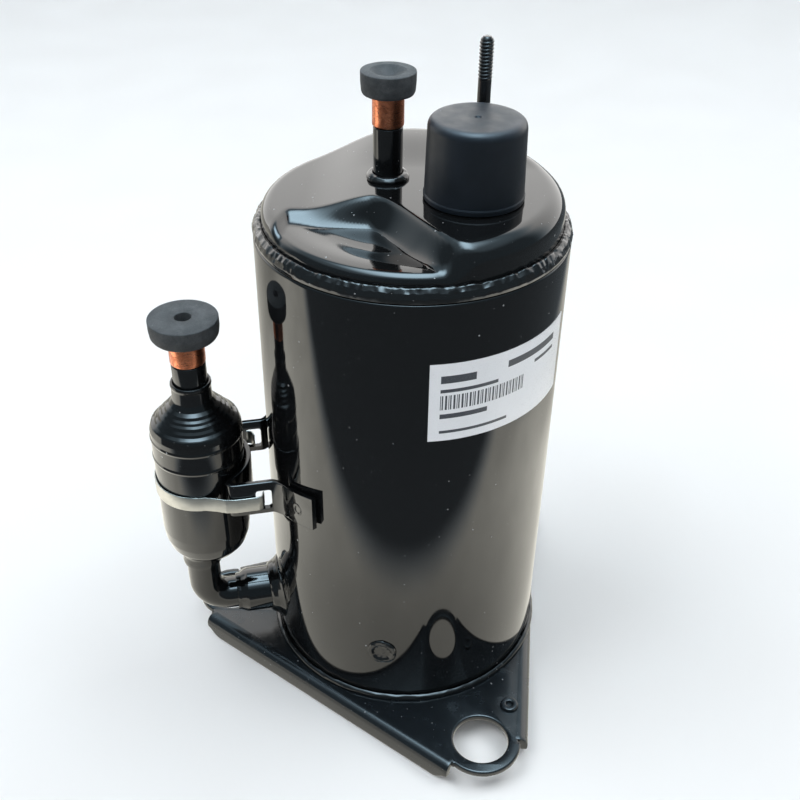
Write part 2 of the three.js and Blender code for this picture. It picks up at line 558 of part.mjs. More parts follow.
// Reed valve on the bearing: the strip runs from its rivet to over the discharge port
const reedLength = Math.hypot(portAt[0] - rivetAt[0], portAt[1] - rivetAt[1]);
const reedAz = Math.atan2(portAt[1] - rivetAt[1], portAt[0] - rivetAt[0]) * 180 / Math.PI;
const alongReed = (geometry) => geometry.rotateZ(rad(reedAz)).translate(rivetAt[0], rivetAt[1], 0);
const reedOutline = [
  ...arc(0, 0, 3.3, 90, 270, 6), [reedLength - 4, -2],
  ...arc(reedLength, 0, 4.1, -140, 140, 10), [reedLength - 4, 2],
];
const rivetHole = arc(0, 0, 2.2, 0, 360, 10).slice(0, 10);
add('discharge_reed', alongReed(prism(reedOutline, 49.4, 49.8, [rivetHole])), STEEL, 0.25, 0.9);
const stopSide = [
  [-3.4, 50.6], [3, 50.6], [12, 52], [reedLength + 3.4, 55], [reedLength + 3.4, 56.4], [11.6, 53.2],
  [3, 51.8], [-3.4, 51.8],
];
const reedStop = prism(stopSide, -3.2, 3.2).rotateX(Math.PI / 2);
add('reed_stop', alongReed(cut(reedStop, cylinder(1.9, 40, 60, 10))), STEEL, 0.35, 0.9);
add('reed_rivet', lathe([[0, 43], [1.5, 43], [1.5, 52], [2.6, 52], [2.4, 53], [0, 53.2]], 10, ...rivetAt),
  STEEL, 0.3, 0.9);
add('muffler', cut(lathe([
  [14.6, 61], [26, 61], [29.6, 59], [30, 50.6], [38.8, 50.6], [38.8, 49.4], [29, 49.4], [28.4, 58.4],
  [25.6, 59.8], [14.6, 59.8],
], 20), ...boltHoles(45, 60)), STEEL, 0.4, 0.8);
boltAt.forEach(([x, y], i) => {
  const shank = cylinder(2.4, 15, 51.5, 10, x, y);
  const head = cylinder(3.6, 50.9, 54.6, 6, x, y);
  add(`pump_bolt_${i + 1}`, join(shank, head), 0x2a2c2e, 0.4, 0.8);
});

export default group;
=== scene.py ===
import math

import bmesh
import bpy
from mathutils import Matrix, Vector, geometry, noise


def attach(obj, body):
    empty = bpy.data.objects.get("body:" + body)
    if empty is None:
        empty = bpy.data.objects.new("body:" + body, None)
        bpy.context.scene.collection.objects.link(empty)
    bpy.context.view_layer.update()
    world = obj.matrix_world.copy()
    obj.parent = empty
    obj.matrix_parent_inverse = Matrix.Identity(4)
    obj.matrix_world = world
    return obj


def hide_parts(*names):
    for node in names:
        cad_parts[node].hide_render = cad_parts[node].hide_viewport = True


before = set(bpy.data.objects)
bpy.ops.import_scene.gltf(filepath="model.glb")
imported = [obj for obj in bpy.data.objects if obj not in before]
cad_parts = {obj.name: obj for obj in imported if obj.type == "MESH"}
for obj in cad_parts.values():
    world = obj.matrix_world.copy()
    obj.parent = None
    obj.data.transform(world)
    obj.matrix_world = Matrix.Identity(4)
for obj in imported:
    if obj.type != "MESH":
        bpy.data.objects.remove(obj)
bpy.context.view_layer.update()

# Without a seed, Blender's vector noise starts from the clock
noise.seed_set(1)

# Rotary compressor. Lengths are millimetres in the CAD's frame, and become metres as each mesh is made.
MM = 0.001
SHELL_R = 59
SHELL_WALL = 3
CAP_R = 55.7
CAP_WALL = 3
CAP_SKIRT_BOTTOM = 196
CAP_LIP_R = CAP_R - 5
PLATEAU_Z = 222
REAR_RISE = 2
LEFT_DROP = 5.8
LEDGE_Z = 213.5
LEDGE_DISH = 1.2
LEDGE_WALL = 8
LEDGE_RIM = 3.2
PLATEAU_RIM = 7
SHELL_BOTTOM = 10.5
SHELL_TOP = 204.5
PLUG_WELD_AZ = (-98.6, 21.4, 141.4)
PLUG_WELD_Z = 38
DISCHARGE = (-9.4, 5)
TERMINAL = (21.5, -11)
STUD = (24.6, 13.5)
SUCTION_AZ = 193.24
SUCTION_Z = 30.7
ACC_DIST = 87.3
ACC_R = 18.2
PIPE_SHIFT = 3.8
ELBOW_R = 10.5
PIPE_R = 7
PIPE_WALL = 1.2
PLATE_TOP = 10.2
PLATE_T = 3
BEND_R = 4
# A foot is the azimuth of its hole, the hole's distance from the axis, and the radius of its lobe
FEET = ((-67.4, 86, 16.6), (56, 86, 16.6), (178, 82.6, 14.8))
FOOT_HOLE_R = 11.4
BASE_DISC_R = 66
BASE_WELL_R = 40
BOSS = (46, -62)


# ---------------------------------------- camera
def camera():
    """The photo's viewpoint, fitted to the outlines it shows."""
    pitch, yaw, roll = math.radians(35.03), math.radians(-0.57), math.radians(0.91)
    ahead = Vector((math.sin(yaw) * math.cos(pitch), math.cos(yaw) * math.cos(pitch), -math.sin(pitch)))
    level = Vector((math.cos(yaw), -math.sin(yaw), 0))
    above = level.cross(ahead)
    right = level * math.cos(roll) + above * math.sin(roll)
    up = above * math.cos(roll) - level * math.sin(roll)
    data = bpy.data.cameras.new("camera")
    data.sensor_width = 36
    data.lens = 47.27
    data.clip_start, data.clip_end = 0.01, 50
    cam = bpy.data.objects.new("camera", data)
    turn = Matrix((right, up, -ahead)).transposed().to_4x4()
    cam.matrix_world = Matrix.Translation((0, -0.3572, 0.37613)) @ turn
    bpy.context.scene.collection.objects.link(cam)
    bpy.context.scene.camera = cam


camera()


# ---------------------------------------- materials
class Finish:
    """A Principled material whose colour, roughness and bump come from nodes in the object's own metres."""

    def __init__(self, name, metallic=0.0, ior=1.5):
        self.material = bpy.data.materials.new(name)
        self.material.use_nodes = True
        self.tree = self.material.node_tree
        self.shader = self.tree.nodes["Principled BSDF"]
        self.shader.inputs["Metallic"].default_value = metallic
        self.shader.inputs["IOR"].default_value = ior
        self.place = self.tree.nodes.new("ShaderNodeTexCoord").outputs["Object"]
        self.normal = None

    def node(self, kind, sockets=None, **settings):
        """A new node. Each socket gets a link or a value."""
        made = self.tree.nodes.new("ShaderNode" + kind)
        for key, value in settings.items():
            setattr(made, key, value)
        for key, value in (sockets or {}).items():
            if isinstance(value, bpy.types.NodeSocket):
                self.tree.links.new(value, made.inputs[key])
            else:
                made.inputs[key].default_value = value
        return made

    def stretched(self, x, y, z):
        return self.node("Mapping", {"Vector": self.place, "Scale": (x, y, z)}).outputs["Vector"]

    def noise(self, size, detail=2.0, rough=0.5, vector=None, twist=0.0):
        """Smooth noise about 0.5, with lumps about size millimetres across."""
        sockets = {"Vector": vector or self.place, "Scale": 1 / (size * MM), "Detail": detail}
        sockets.update({"Roughness": rough, "Distortion": twist})
        return self.node("TexNoise", sockets).outputs["Fac"]

    def cells(self, size, output="Distance"):
        sockets = {"Vector": self.place, "Scale": 1 / (size * MM)}
        return self.node("TexVoronoi", sockets).outputs[output]

    def ramp(self, value, low, high, start=0.0, end=1.0):
        """A smooth step from start, where value is low, to end, where it is high."""
        sockets = {"Value": value, "From Min": low, "From Max": high, "To Min": start, "To Max": end}
        return self.node("MapRange", sockets, interpolation_type="SMOOTHSTEP", clamp=True).outputs["Result"]

    def math(self, operation, a, b=0.0, c=0.0):
        return self.node("Math", {0: a, 1: b, 2: c}, operation=operation).outputs[0]

    def times(self, a, b):
        return self.math("MULTIPLY", a, b)

    def mix(self, factor, a, b):
        made = self.node("Mix", {"Factor": factor}, data_type="RGBA")
        for index, value in ((6, a), (7, b)):
            if isinstance(value, bpy.types.NodeSocket):
                self.tree.links.new(value, made.inputs[index])
            else:
                made.inputs[index].default_value = (*value, 1)
        return made.outputs[2]

    def specks(self, size, share):
        """Round dots of uneven size, one at most in each cell, in a share of the cells."""
        widest, softness = 0.16, 0.02
        distance = self.cells(size)
        chance = self.node("SeparateColor", {"Color": self.cells(size, "Color")}).outputs[0]
        radius = self.math("MULTIPLY_ADD", chance, widest / share, widest - widest / share)
        return self.ramp(self.math("SUBTRACT", radius, distance), 0.0, softness)

    def color(self, socket):
        self.tree.links.new(socket, self.shader.inputs["Base Color"])

    def roughness(self, socket):
        self.tree.links.new(socket, self.shader.inputs["Roughness"])

    def metallic(self, socket):
        self.tree.links.new(socket, self.shader.inputs["Metallic"])

    def bump(self, height, depth):
        """Adds relief: height 0 to 1 stands for depth micrometres."""
        sockets = {"Height": height, "Distance": depth * 1e-6, "Strength": 1.0}
        if self.normal:
            sockets["Normal"] = self.normal
        self.normal = self.node("Bump", sockets).outputs["Normal"]
        self.tree.links.new(self.normal, self.shader.inputs["Normal"])


def paint(name, color, rough, peel, dust, waves=20.0):
    """Enamel: flow-out waves, orange peel, dust nibs and a little haze."""
    f = Finish(name)
    patch = f.noise(38, 3)
    nib = f.specks(2.6, 0.1 * dust)
    mote = f.specks(0.9, 0.045 * dust)
    light = f.math("MAXIMUM", nib, mote)
    deep = tuple(c * 0.6 for c in color)
    f.color(f.mix(f.times(light, 0.75), f.mix(patch, deep, color), (0.34, 0.35, 0.36)))
    haze = f.ramp(f.noise(9, 4, 0.6), 0.45, 0.8, rough, rough * 1.9)
    f.roughness(f.math("ADD", haze, f.times(light, 0.35)))
    f.bump(f.noise(waves, 1), 26)
    f.bump(f.noise(2.1, 2), peel)
    f.bump(nib, 22)
    return f.material


def rubber():
    f = Finish("rubber", ior=1.45)
    grain = f.noise(0.35, 3, 0.6)
    bloom = f.ramp(f.noise(6, 4, 0.65), 0.35, 0.75)
    dust = f.specks(1.3, 0.12)
    base = f.mix(bloom, (0.028, 0.030, 0.032), (0.062, 0.064, 0.067))
    f.color(f.mix(f.times(dust, 0.5), base, (0.22, 0.22, 0.21)))
    f.roughness(f.ramp(grain, 0.3, 0.7, 0.62, 0.86))
    f.bump(grain, 22)
    f.bump(f.noise(3.2, 2), 30)
    return f.material


def cover_plastic():
    f = Finish("cover_plastic", ior=1.46)
    grain = f.noise(0.45, 2, 0.5)
    bloom = f.ramp(f.noise(11, 4, 0.6), 0.3, 0.8)
    base = f.mix(bloom, (0.0035, 0.0060, 0.0105), (0.0065, 0.0100, 0.0165))
    f.color(f.mix(f.times(f.specks(2.2, 0.05), 0.5), base, (0.16, 0.18, 0.20)))
    f.roughness(f.ramp(f.noise(7, 3), 0.3, 0.7, 0.40, 0.52))
    f.bump(grain, 14)
    f.bump(f.noise(8, 2), 40)
    return f.material


def copper():
    f = Finish("copper", metallic=1.0)
    stain = f.ramp(f.noise(3.4, 5, 0.65, twist=1.2), 0.42, 0.62)
    spots = f.ramp(f.noise(1.1, 3, 0.6), 0.60, 0.70)
    bright = f.mix(f.noise(8, 2), (0.80, 0.30, 0.16), (0.70, 0.22, 0.11))
    worn = f.mix(stain, bright, (0.46, 0.15, 0.075))
    f.color(f.mix(spots, worn, (0.17, 0.065, 0.040)))
    rings = f.noise(0.5, 3, 0.6, vector=f.stretched(0.12, 0.12, 3.0))
    f.roughness(f.math("ADD", f.ramp(rings, 0.3, 0.7, 0.20, 0.34), f.times(stain, 0.16)))
    f.metallic(f.ramp(spots, 0.0, 1.0, 1.0, 0.55))
    f.bump(rings, 9)
    f.bump(f.noise(1.7, 3), 16)
    return f.material


def brushed_steel(name, light, dark, rough, rust=0.0):
    f = Finish(name, metallic=1.0)
    lines = f.noise(0.6, 3, 0.65, vector=f.stretched(0.1, 0.1, 3.0))
    blotch = f.ramp(f.noise(6, 4, 0.6), 0.35, 0.7)
    base = f.mix(f.times(lines, 0.8), dark, light)
    stained = f.mix(f.times(blotch, 0.35), base, dark)
    spots = f.ramp(f.noise(2.2, 4, 0.6), 0.66, 0.74)
    f.color(f.mix(f.times(spots, rust), stained, (0.16, 0.09, 0.055)))
    f.roughness(f.math("ADD", f.ramp(lines, 0.3, 0.7, rough, rough + 0.14), f.times(blotch, 0.07)))
    f.bump(lines, 7)
    return f.material


def cast_iron():
    f = Finish("cast_iron", metallic=1.0)
    grain = f.noise(0.5, 4, 0.65)
    f.color(f.mix(grain, (0.13, 0.13, 0.135), (0.27, 0.27, 0.275)))
    f.roughness(f.ramp(grain, 0.3, 0.7, 0.40, 0.62))
    f.bump(grain, 24)
    f.bump(f.noise(5, 3), 30)
    return f.material


def laminations():
    f = Finish("laminations", metallic=1.0)
    sheet = f.node("TexWave", {"Vector": f.place, "Scale": 314.0, "Distortion": 0.1, "Detail": 1.0},
                   bands_direction="Z").outputs["Fac"]
    shade = f.mix(f.noise(7, 4), (0.16, 0.165, 0.175), (0.26, 0.265, 0.28))
    f.color(f.mix(f.ramp(sheet, 0.0, 0.25), (0.05, 0.05, 0.055), shade))
    f.roughness(f.ramp(sheet, 0.0, 0.5, 0.7, 0.42))
    f.bump(sheet, 40)
    return f.material


def windings():
    f = Finish("windings", ior=1.55)
    strands = f.noise(1.1, 2, 0.5, vector=f.stretched(0.25, 0.25, 1.6), twist=0.6)
    lacquer = f.ramp(f.noise(9, 4), 0.3, 0.75)
    f.color(f.mix(strands, (0.16, 0.045, 0.016), f.mix(lacquer, (0.48, 0.19, 0.075), (0.36, 0.12, 0.045))))
    f.roughness(f.ramp(strands, 0.3, 0.7, 0.42, 0.24))
    f.bump(strands, 260)
    return f.material


def cast_metal(name, dark, light, rough):
    f = Finish(name, metallic=1.0)
    grain = f.noise(0.9, 4, 0.6)
    f.color(f.mix(grain, dark, light))
    f.roughness(f.ramp(f.noise(4, 3), 0.3, 0.7, rough, rough + 0.18))
    f.bump(grain, 14)
    return f.material


def glass():
    f = Finish("terminal_glass", ior=1.52)
    bubbles = f.specks(0.9, 0.25)
    tone = f.mix(f.noise(3, 3), (0.020, 0.055, 0.060), (0.035, 0.085, 0.085))
    f.color(f.mix(f.times(bubbles, 0.4), tone, (0.18, 0.28, 0.28)))
    f.roughness(f.ramp(f.noise(5, 2), 0.3, 0.7, 0.05, 0.12))
    f.bump(f.noise(2.5, 2), 30)
    return f.material


def moulded(name, dark, light, rough):
    f = Finish(name, ior=1.47)
    grain = f.noise(0.5, 3)
    f.color(f.mix(f.noise(6, 4), dark, light))
    f.roughness(f.ramp(grain, 0.3, 0.7, rough, rough + 0.14))
    f.bump(grain, 12)
    return f.material


def sleeving():
    f = Finish("sleeving", ior=1.45)
    warp = f.node("TexWave", {"Vector": f.stretched(1, 1, 0.6), "Scale": 260.0, "Distortion": 0.4},
                  bands_direction="DIAGONAL").outputs["Fac"]
    f.color(f.mix(warp, (0.15, 0.035, 0.025), (0.30, 0.085, 0.055)))
    f.roughness(f.ramp(warp, 0.0, 1.0, 0.8, 0.6))
    f.bump(warp, 90)
    return f.material


def label_film():
    f = Finish("label_film")
    fibre = f.noise(0.4, 3)
    f.color(f.mix(f.noise(14, 3), (0.80, 0.81, 0.83), (0.87, 0.88, 0.90)))
    f.roughness(f.ramp(fibre, 0.3, 0.7, 0.26, 0.36))
    f.bump(f.noise(4.5, 2), 24)
    return f.material


def label_ink():
    f = Finish("label_ink")
    ribbon = f.ramp(f.noise(0.25, 2), 0.25, 0.6)
    f.color(f.mix(ribbon, (0.10, 0.11, 0.13), (0.05, 0.055, 0.065)))
    f.roughness(f.ramp(f.noise(2, 2), 0.3, 0.7, 0.3, 0.42))
    return f.material


GLOSS = paint("gloss_black", (0.0052, 0.0056, 0.0062), 0.045, 1.6, 1.0)
CAP_GLOSS = paint("cap_black", (0.0058, 0.0064, 0.0070), 0.050, 1.4, 1.6)
WELD_GLOSS = paint("weld_black", (0.0075, 0.0080, 0.0085), 0.085, 4.0, 2.2, waves=6.0)
PIPE_GLOSS = paint("pipe_black", (0.0052, 0.0056, 0.0062), 0.060, 2.2, 1.0, waves=9.0)
BASE_PAINT = paint("base_black", (0.0085, 0.0115, 0.0145), 0.20, 5.0, 1.8, waves=12.0)
RUBBER = rubber()
COVER = cover_plastic()
COPPER = copper()
BAND = brushed_steel("bare_steel", (0.56, 0.55, 0.52), (0.33, 0.325, 0.30), 0.30, rust=0.25)
STUD_STEEL = paint("dark_steel", (0.011, 0.012, 0.013), 0.22, 5.0, 1.5, waves=5.0)
GROUND = brushed_steel("ground_steel", (0.62, 0.62, 0.62), (0.42, 0.42, 0.43), 0.16)
IRON = cast_iron()
LAMINATIONS = laminations()
WINDINGS = windings()
ALUMINIUM = cast_metal("rotor_aluminium", (0.52, 0.53, 0.54), (0.74, 0.75, 0.76), 0.34)
BRASS = cast_metal("brass", (0.46, 0.30, 0.11), (0.72, 0.52, 0.22), 0.28)
GLASS = glass()
CONNECTOR = moulded("pale_plastic", (0.52, 0.48, 0.39), (0.64, 0.60, 0.50), 0.45)
SLEEVING = sleeving()
FILM = label_film()
INK = label_ink()


# ---------------------------------------- geometry helpers
def polar(r, degrees):
    return r * math.cos(math.radians(degrees)), r * math.sin(math.radians(degrees))


def outward(az):
    """The level direction at an azimuth."""
    return Vector((*polar(1, az), 0))


def ease(t):
    """A smooth step from 0 to 1."""
    c = min(max(t, 0.0), 1.0)
    return c * c * (3 - 2 * c)


def arc(cx, cy, r, start, end, count):
    """Points round a circle from one azimuth to another, in count steps."""
    points = []
    for i in range(count + 1):
        x, y = polar(r, start + (end - start) * i / count)
        points.append((cx + x, cy + y))
    return points


def rounded(points, radius, closed=True, steps=4):
    """Rounds the corners of a line of points. A third number in a point is its own radius."""
    out = []
    count = len(points)
    for i, point in enumerate(points):
        here = Vector(point[:2])
        size = point[2] if len(point) > 2 else radius
        if not closed and i in (0, count - 1) or size <= 0:
            out.append(tuple(here))
            continue
        before = Vector(points[i - 1][:2]) - here
        after = Vector(points[(i + 1) % count][:2]) - here
        bend = before.angle(-after, 0.0)
        if bend < math.radians(4):
            out.append(tuple(here))
            continue
        reach = min(size * math.tan(bend / 2), 0.46 * before.length, 0.46 * after.length)
        a = here + before.normalized() * reach
        b = here + after.normalized() * reach
        for k in range(steps + 1):
            t = k / steps
            out.append(tuple(a * (1 - t) ** 2 + here * (2 * t * (1 - t)) + b * t * t))
    return out


def piece(name, verts, faces, finish, stands_for=None, body="casing", slot="gloss_black", place=None,
          sharp=38, lumps=None, faces_of=None):
    """Makes one mesh from millimetres, has it ride on a body and stand for a CAD node."""
    spots = [Vector(v) for v in verts]
    if place:
        spots = [place(v) for v in spots]
    if lumps:
        spots = [v + lumps(v) for v in spots]
    mesh = bpy.data.meshes.new(name)
    mesh.from_pydata([v * MM for v in spots], [], faces)
    finishes = finish if isinstance(finish, (list, tuple)) else [finish]
    for one in finishes:
        mesh.materials.append(one)
    if faces_of:
        mesh.polygons.foreach_set("material_index", faces_of)
    tidy(mesh, sharp)
    made = bpy.data.objects.new(name, mesh)
    bpy.context.scene.collection.objects.link(made)
    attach(made, body)
    if stands_for:
        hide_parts(stands_for)
    return made


def tidy(mesh, sharp):
    """Turns every face outwards and smooths the edges flatter than sharp degrees."""
    work = bmesh.new()
    work.from_mesh(mesh)
    bmesh.ops.recalc_face_normals(work, faces=work.faces)
    work.to_mesh(mesh)
    work.free()
    mesh.shade_smooth()
    mesh.set_sharp_from_angle(angle=math.radians(sharp))


def bands(rows, count):
    """Faces between each closed row of count vertices and the next. A row is its first vertex's index."""
    faces = []
    for low, high in zip(rows, rows[1:]):
        for i in range(count):
            j = (i + 1) % count
            faces.append((low + i, low + j, high + j, high + i))
    return faces


def spun(profile, segments):
    """Vertices and faces of a profile turned about +Z. It ends on the axis at both ends, or is a loop."""
    verts, rows = [], []
    for r, z in profile:
        if r < 1e-6:
            rows.append([len(verts)])
            verts.append((0, 0, z))
        else:
            rows.append(list(range(len(verts), len(verts) + segments)))
            verts.extend((*polar(r, 360 * i / segments), z) for i in range(segments))
    faces = []
    loop = len(rows[0]) > 1
    pairs = list(zip(rows, rows[1:])) + ([(rows[-1], rows[0])] if loop else [])
    for low, high in pairs:
        for i in range(segments):
            j = (i + 1) % segments
            if len(low) == 1 and len(high) == 1:
                continue
            if len(low) == 1:
                faces.append((low[0], high[j], high[i]))
            elif len(high) == 1:
                faces.append((low[i], low[j], high[0]))
            else:
                faces.append((low[i], low[j], high[j], high[i]))
    return verts, faces


def turned(name, profile, finish, segments=96, rounding=0.4, at=(0, 0), place=None, steps=4, **rest):
    """A piece turned about +Z from a profile whose corners are rounded."""
    loop = profile[0][0] > 0
    verts, faces = spun(rounded(profile, rounding, closed=loop, steps=steps), segments)
    shifted = [(x + at[0], y + at[1], z) for x, y, z in verts]
    return piece(name, shifted, faces, finish, place=place, **rest)


def radial_place(az, z):
    """From a part turned about +Z to the same part about a horizontal line that leaves the shell at az."""
    out, side = outward(az), outward(az + 90)

    def move(v):
        return out * v.z + side * v.x + Vector((0, 0, z + v.y))

    return move


def suction_place(v):
    """From the +X line to the line through the suction port."""
    x, y = polar(1, SUCTION_AZ)
    return Vector((v.x * x - v.y * y, v.x * y + v.y * x, v.z))


def flat_prism(outline, low, high, edge, holes=(), steps=3):
    """Vertices and faces of an extruded outline with rounded top and bottom edges."""
    verts, faces = [], []
    loops = [list(outline)] + [list(h) for h in holes]
    levels = []
    for k in range(steps + 1):
        t = math.pi / 2 * k / steps
        levels.append((edge * (1 - math.sin(t)), low + edge * (1 - math.cos(t))))
    levels += [(inset, low + high - z) for inset, z in reversed(levels)]
    starts = []
    for index, loop in enumerate(loops):
        count = len(loop)
        area = sum(loop[i][0] * loop[(i + 1) % count][1] - loop[(i + 1) % count][0] * loop[i][1]
                   for i in range(count))
        inward = (1 if area > 0 else -1) * (1 if index == 0 else -1)
        normals = []
        for i in range(count):
            a, b = Vector(loop[i - 1]), Vector(loop[(i + 1) % count])
            p = Vector(loop[i])
            d1, d2 = (p - a).normalized(), (b - p).normalized()
            n1, n2 = Vector((-d1.y, d1.x)), Vector((-d2.y, d2.x))
            n = (n1 + n2).normalized()
            normals.append(n * inward / max(0.5, n.dot(n1)))
        rows = []
        for inset, z in levels:
            rows.append(len(verts))
            verts.extend((p[0] + n.x * inset, p[1] + n.y * inset, z) for p, n in zip(loop, normals))
        faces.extend(bands(rows, count))
        starts.append((rows[0], rows[-1], count))
    for end in (0, 1):
        rings = [[Vector(verts[s[end] + i]) for i in range(s[2])] for s in starts]
        index = [s[end] + i for s in starts for i in range(s[2])]
        faces.extend(tuple(index[i] for i in t) for t in geometry.tessellate_polygon(rings))
    return verts, faces


def merge(*parts):
    """Several vertex and face lists as one."""
    verts, faces = [], []
    for part_verts, part_faces in parts:
        start = len(verts)
        faces.extend(tuple(i + start for i in face) for face in part_faces)
        verts.extend(part_verts)
    return verts, faces


def lumpy(amount, size, fine=0.0, seed=0.0, keep=None):
    """Uneven swelling, as on a weld bead: amount millimetres over lumps of the given size."""
    def move(v):
        p = v / size + Vector((seed, seed * 2.1, 0))
        shift = noise.noise_vector(p) * amount
        if fine:
            shift += noise.noise_vector(p * 3.7) * fine
        return shift * (keep(v) if keep else 1.0)

    return move


def strip_outline(line, thickness):
    """The outline of a strip of sheet whose middle follows a line."""
    left, right = [], []
    for i, p in enumerate(line):
        a, b = line[max(i - 1, 0)], line[min(i + 1, len(line) - 1)]
        d = math.hypot(b[0] - a[0], b[1] - a[1])
        nx, ny = -(b[1] - a[1]) / d * thickness / 2, (b[0] - a[0]) / d * thickness / 2
        left.append((p[0] + nx, p[1] + ny))
        right.insert(0, (p[0] - nx, p[1] - ny))
    return left + right


def cut_with(made, cutter_parts):
    """Cuts closed meshes, which are given on the +X line, out of a piece beside the suction port."""
    verts, faces = merge(*cutter_parts)
    mesh = bpy.data.meshes.new("cutter")
    mesh.from_pydata([suction_place(Vector(v)) * MM for v in verts], [], faces)
    tidy(mesh, 30)
    cutter = bpy.data.objects.new("cutter", mesh)
    bpy.context.scene.collection.objects.link(cutter)
    modifier = made.modifiers.new("cut", "BOOLEAN")
    modifier.object = cutter
    modifier.solver = "EXACT"
    bpy.context.view_layer.update()
    graph = bpy.context.evaluated_depsgraph_get()
    result = bpy.data.meshes.new_from_object(made.evaluated_get(graph))
    made.modifiers.clear()
    made.data = result
    bpy.data.objects.remove(cutter)
    bpy.data.meshes.remove(mesh)
    result.set_sharp_from_angle(angle=math.radians(30))


# ---------------------------------------- casing
def cap_height(x, y):
    """The cap's top: a plateau that rises to the rear and drops to the left, and a ledge in front."""
    rear = REAR_RISE * ease((y - 14) / 32) * ease((x + 30) / 30)
    high = PLATEAU_Z + rear - LEFT_DROP * ease((-12 - x) / 28)
    ledge = LEDGE_Z - LEDGE_DISH * ease((CAP_LIP_R - math.hypot(x, y)) / 14)
    slope = (ledge_edge(x + 0.1) - ledge_edge(x - 0.1)) / 0.2
    low = ease((ledge_edge(x) - y) / math.hypot(1, slope) / LEDGE_WALL)
    return high + (ledge - high) * low


def ledge_edge(x):
    """How far back the ledge reaches."""
    return -11 - 38 * ease((x + 16) / 38) - 20 * ease((-44 - x) / 10)


def cap_rings(inset, radials, across, bend_steps):
    """Rings from near the axis, out over the lip's bend and down to the skirt's end."""
    rings = []
    for j in range(across + bend_steps + 2):
        for i in range(radials):
            az = 360 * i / radials
            high = (cap_height(*polar(CAP_LIP_R, az)) - LEDGE_Z) / (PLATEAU_Z - LEDGE_Z)
            rim = LEDGE_RIM + (PLATEAU_RIM - LEDGE_RIM) * high
            flat = CAP_R - rim
            r = flat * (j + 1) / (across + 1)
            drop = 0
            if j > across:
                bend = math.pi / 2 * min(j - across, bend_steps) / bend_steps
                r = flat + (rim - inset) * math.sin(bend)
                drop = (rim - inset) * (1 - math.cos(bend))
            x, y = polar(r, az)
            z = CAP_SKIRT_BOTTOM if j == across + bend_steps + 1 else cap_height(x, y) - inset - drop
            rings.append((x, y, z))
    return rings


def top_cap():
    radials, across, bend_steps = 192, 56, 10
    outer = cap_rings(0, radials, across, bend_steps)
    inner = cap_rings(CAP_WALL, radials, across, bend_steps)
    rows = across + bend_steps + 2
    turned_in = [inner[j * radials + i] for j in reversed(range(rows)) for i in range(radials)]
    verts = [(0, 0, cap_height(0, 0))] + outer + turned_in + [(0, 0, cap_height(0, 0) - CAP_WALL)]
    last = len(verts) - 1
    faces = bands(range(1, last, radials), radials)
    for i in range(radials):
        k = (i + 1) % radials
        faces.append((0, 1 + i, 1 + k))
        faces.append((last, last - radials + k, last - radials + i))
    piece("top_cap_skin", verts, faces, CAP_GLOSS, "top_cap")


top_cap()

turned("shell_skin", [
    (SHELL_R - SHELL_WALL, SHELL_BOTTOM), (SHELL_R, SHELL_BOTTOM), (SHELL_R, SHELL_TOP, 1.1),
    (SHELL_R - SHELL_WALL, SHELL_TOP),
], GLOSS, segments=224, stands_for="shell_tube")


def weld_bead():
    """The closing weld: a poured ring with swells and hollows, a little wider than the tube's rounded lip."""
    def swell(v):
        az = math.atan2(v.y, v.x)
        ripple = noise.noise(Vector((az * 19, v.z * 0.25, 1.7))) * 0.30
        ripple += noise.noise(Vector((az * 7, 4, 2.2))) * 0.35
        ripple += noise.noise(v / 1.9) * 0.30 + noise.noise(v / 0.9) * 0.16
        out = Vector((v.x, v.y, 0)).normalized()
        return (out * 0.45 + Vector((0, 0, 0.9))) * ripple * ease((v.z - 204.9) / 1.2)

    turned("top_weld_bead", [
        (55.75, 204.9), (58.8, 204.9, 0.3), (59.15, 206.4, 1.2), (58.4, 208.5, 1.3), (57.1, 210, 1.0),
        (55.75, 209.8, 0.5),
    ], WELD_GLOSS, segments=640, stands_for="top_weld", lumps=swell, steps=9)


weld_bead()
turned("bottom_weld_bead", [(59.3, 10.5), (61.1, 10.5, 0.6), (60.5, 11.9, 1.0), (59.3, 12.7)], WELD_GLOSS,
       segments=300, stands_for="bottom_weld",
       lumps=lumpy(0.22, 3.2, 0.05, keep=lambda v: ease((v.z - 10.5) / 1.0)))
turned("bottom_cap_skin", [
    (0, 0), (34, 0, 2.5), (37, 1.6, 2), (39.2, 10.5, 1.6), (53, 10.5, 2.5), (55.7, 13, 1), (55.7, 19.6),
    (52.7, 19.6), (52.7, 15, 1), (51.6, 13.6, 1), (40.5, 13.6, 2), (37.6, 12.2, 2), (34.6, 3, 2), (0, 3),
], BASE_PAINT, segments=128, stands_for="bottom_cap")


def plug_weld(index, az):
    """A plug weld seen through the shell's hole: a sunken pool with a raised, uneven lip."""
    def uneven(v):
        return lumpy(0.28, 3.0, 0.1, seed=3.1 * index)(v) * ease((math.hypot(v.x, v.y) - 57.5) / 1.2)

    turned(f"plug_weld_{index}_bead", [
        (0, 56.2), (4, 56.2), (4, 59.0), (6.4, 59.0, 0.2), (5.9, 59.75, 0.8), (4.6, 59.95, 0.9),
        (3.4, 59.15, 1.2), (1.8, 58.9, 1.2), (0, 59.35),
    ], WELD_GLOSS, segments=72, place=radial_place(az, PLUG_WELD_Z), lumps=uneven,
        stands_for=f"plug_weld_{index}", steps=5)


for number, azimuth in enumerate(PLUG_WELD_AZ, 1):
    plug_weld(number, azimuth)


# ---------------------------------------- base plate
# A side is the azimuth of its normal, its face's distance from the axis, and its flange's ends along it
SIDES = (
    (-125.6, 66, (-66, 70)),
    (-5.7, 60.5, (-74, 74)),
    (117.65, 51, (-63, -50)),
    (110, 47.3, (55, 70)),
)


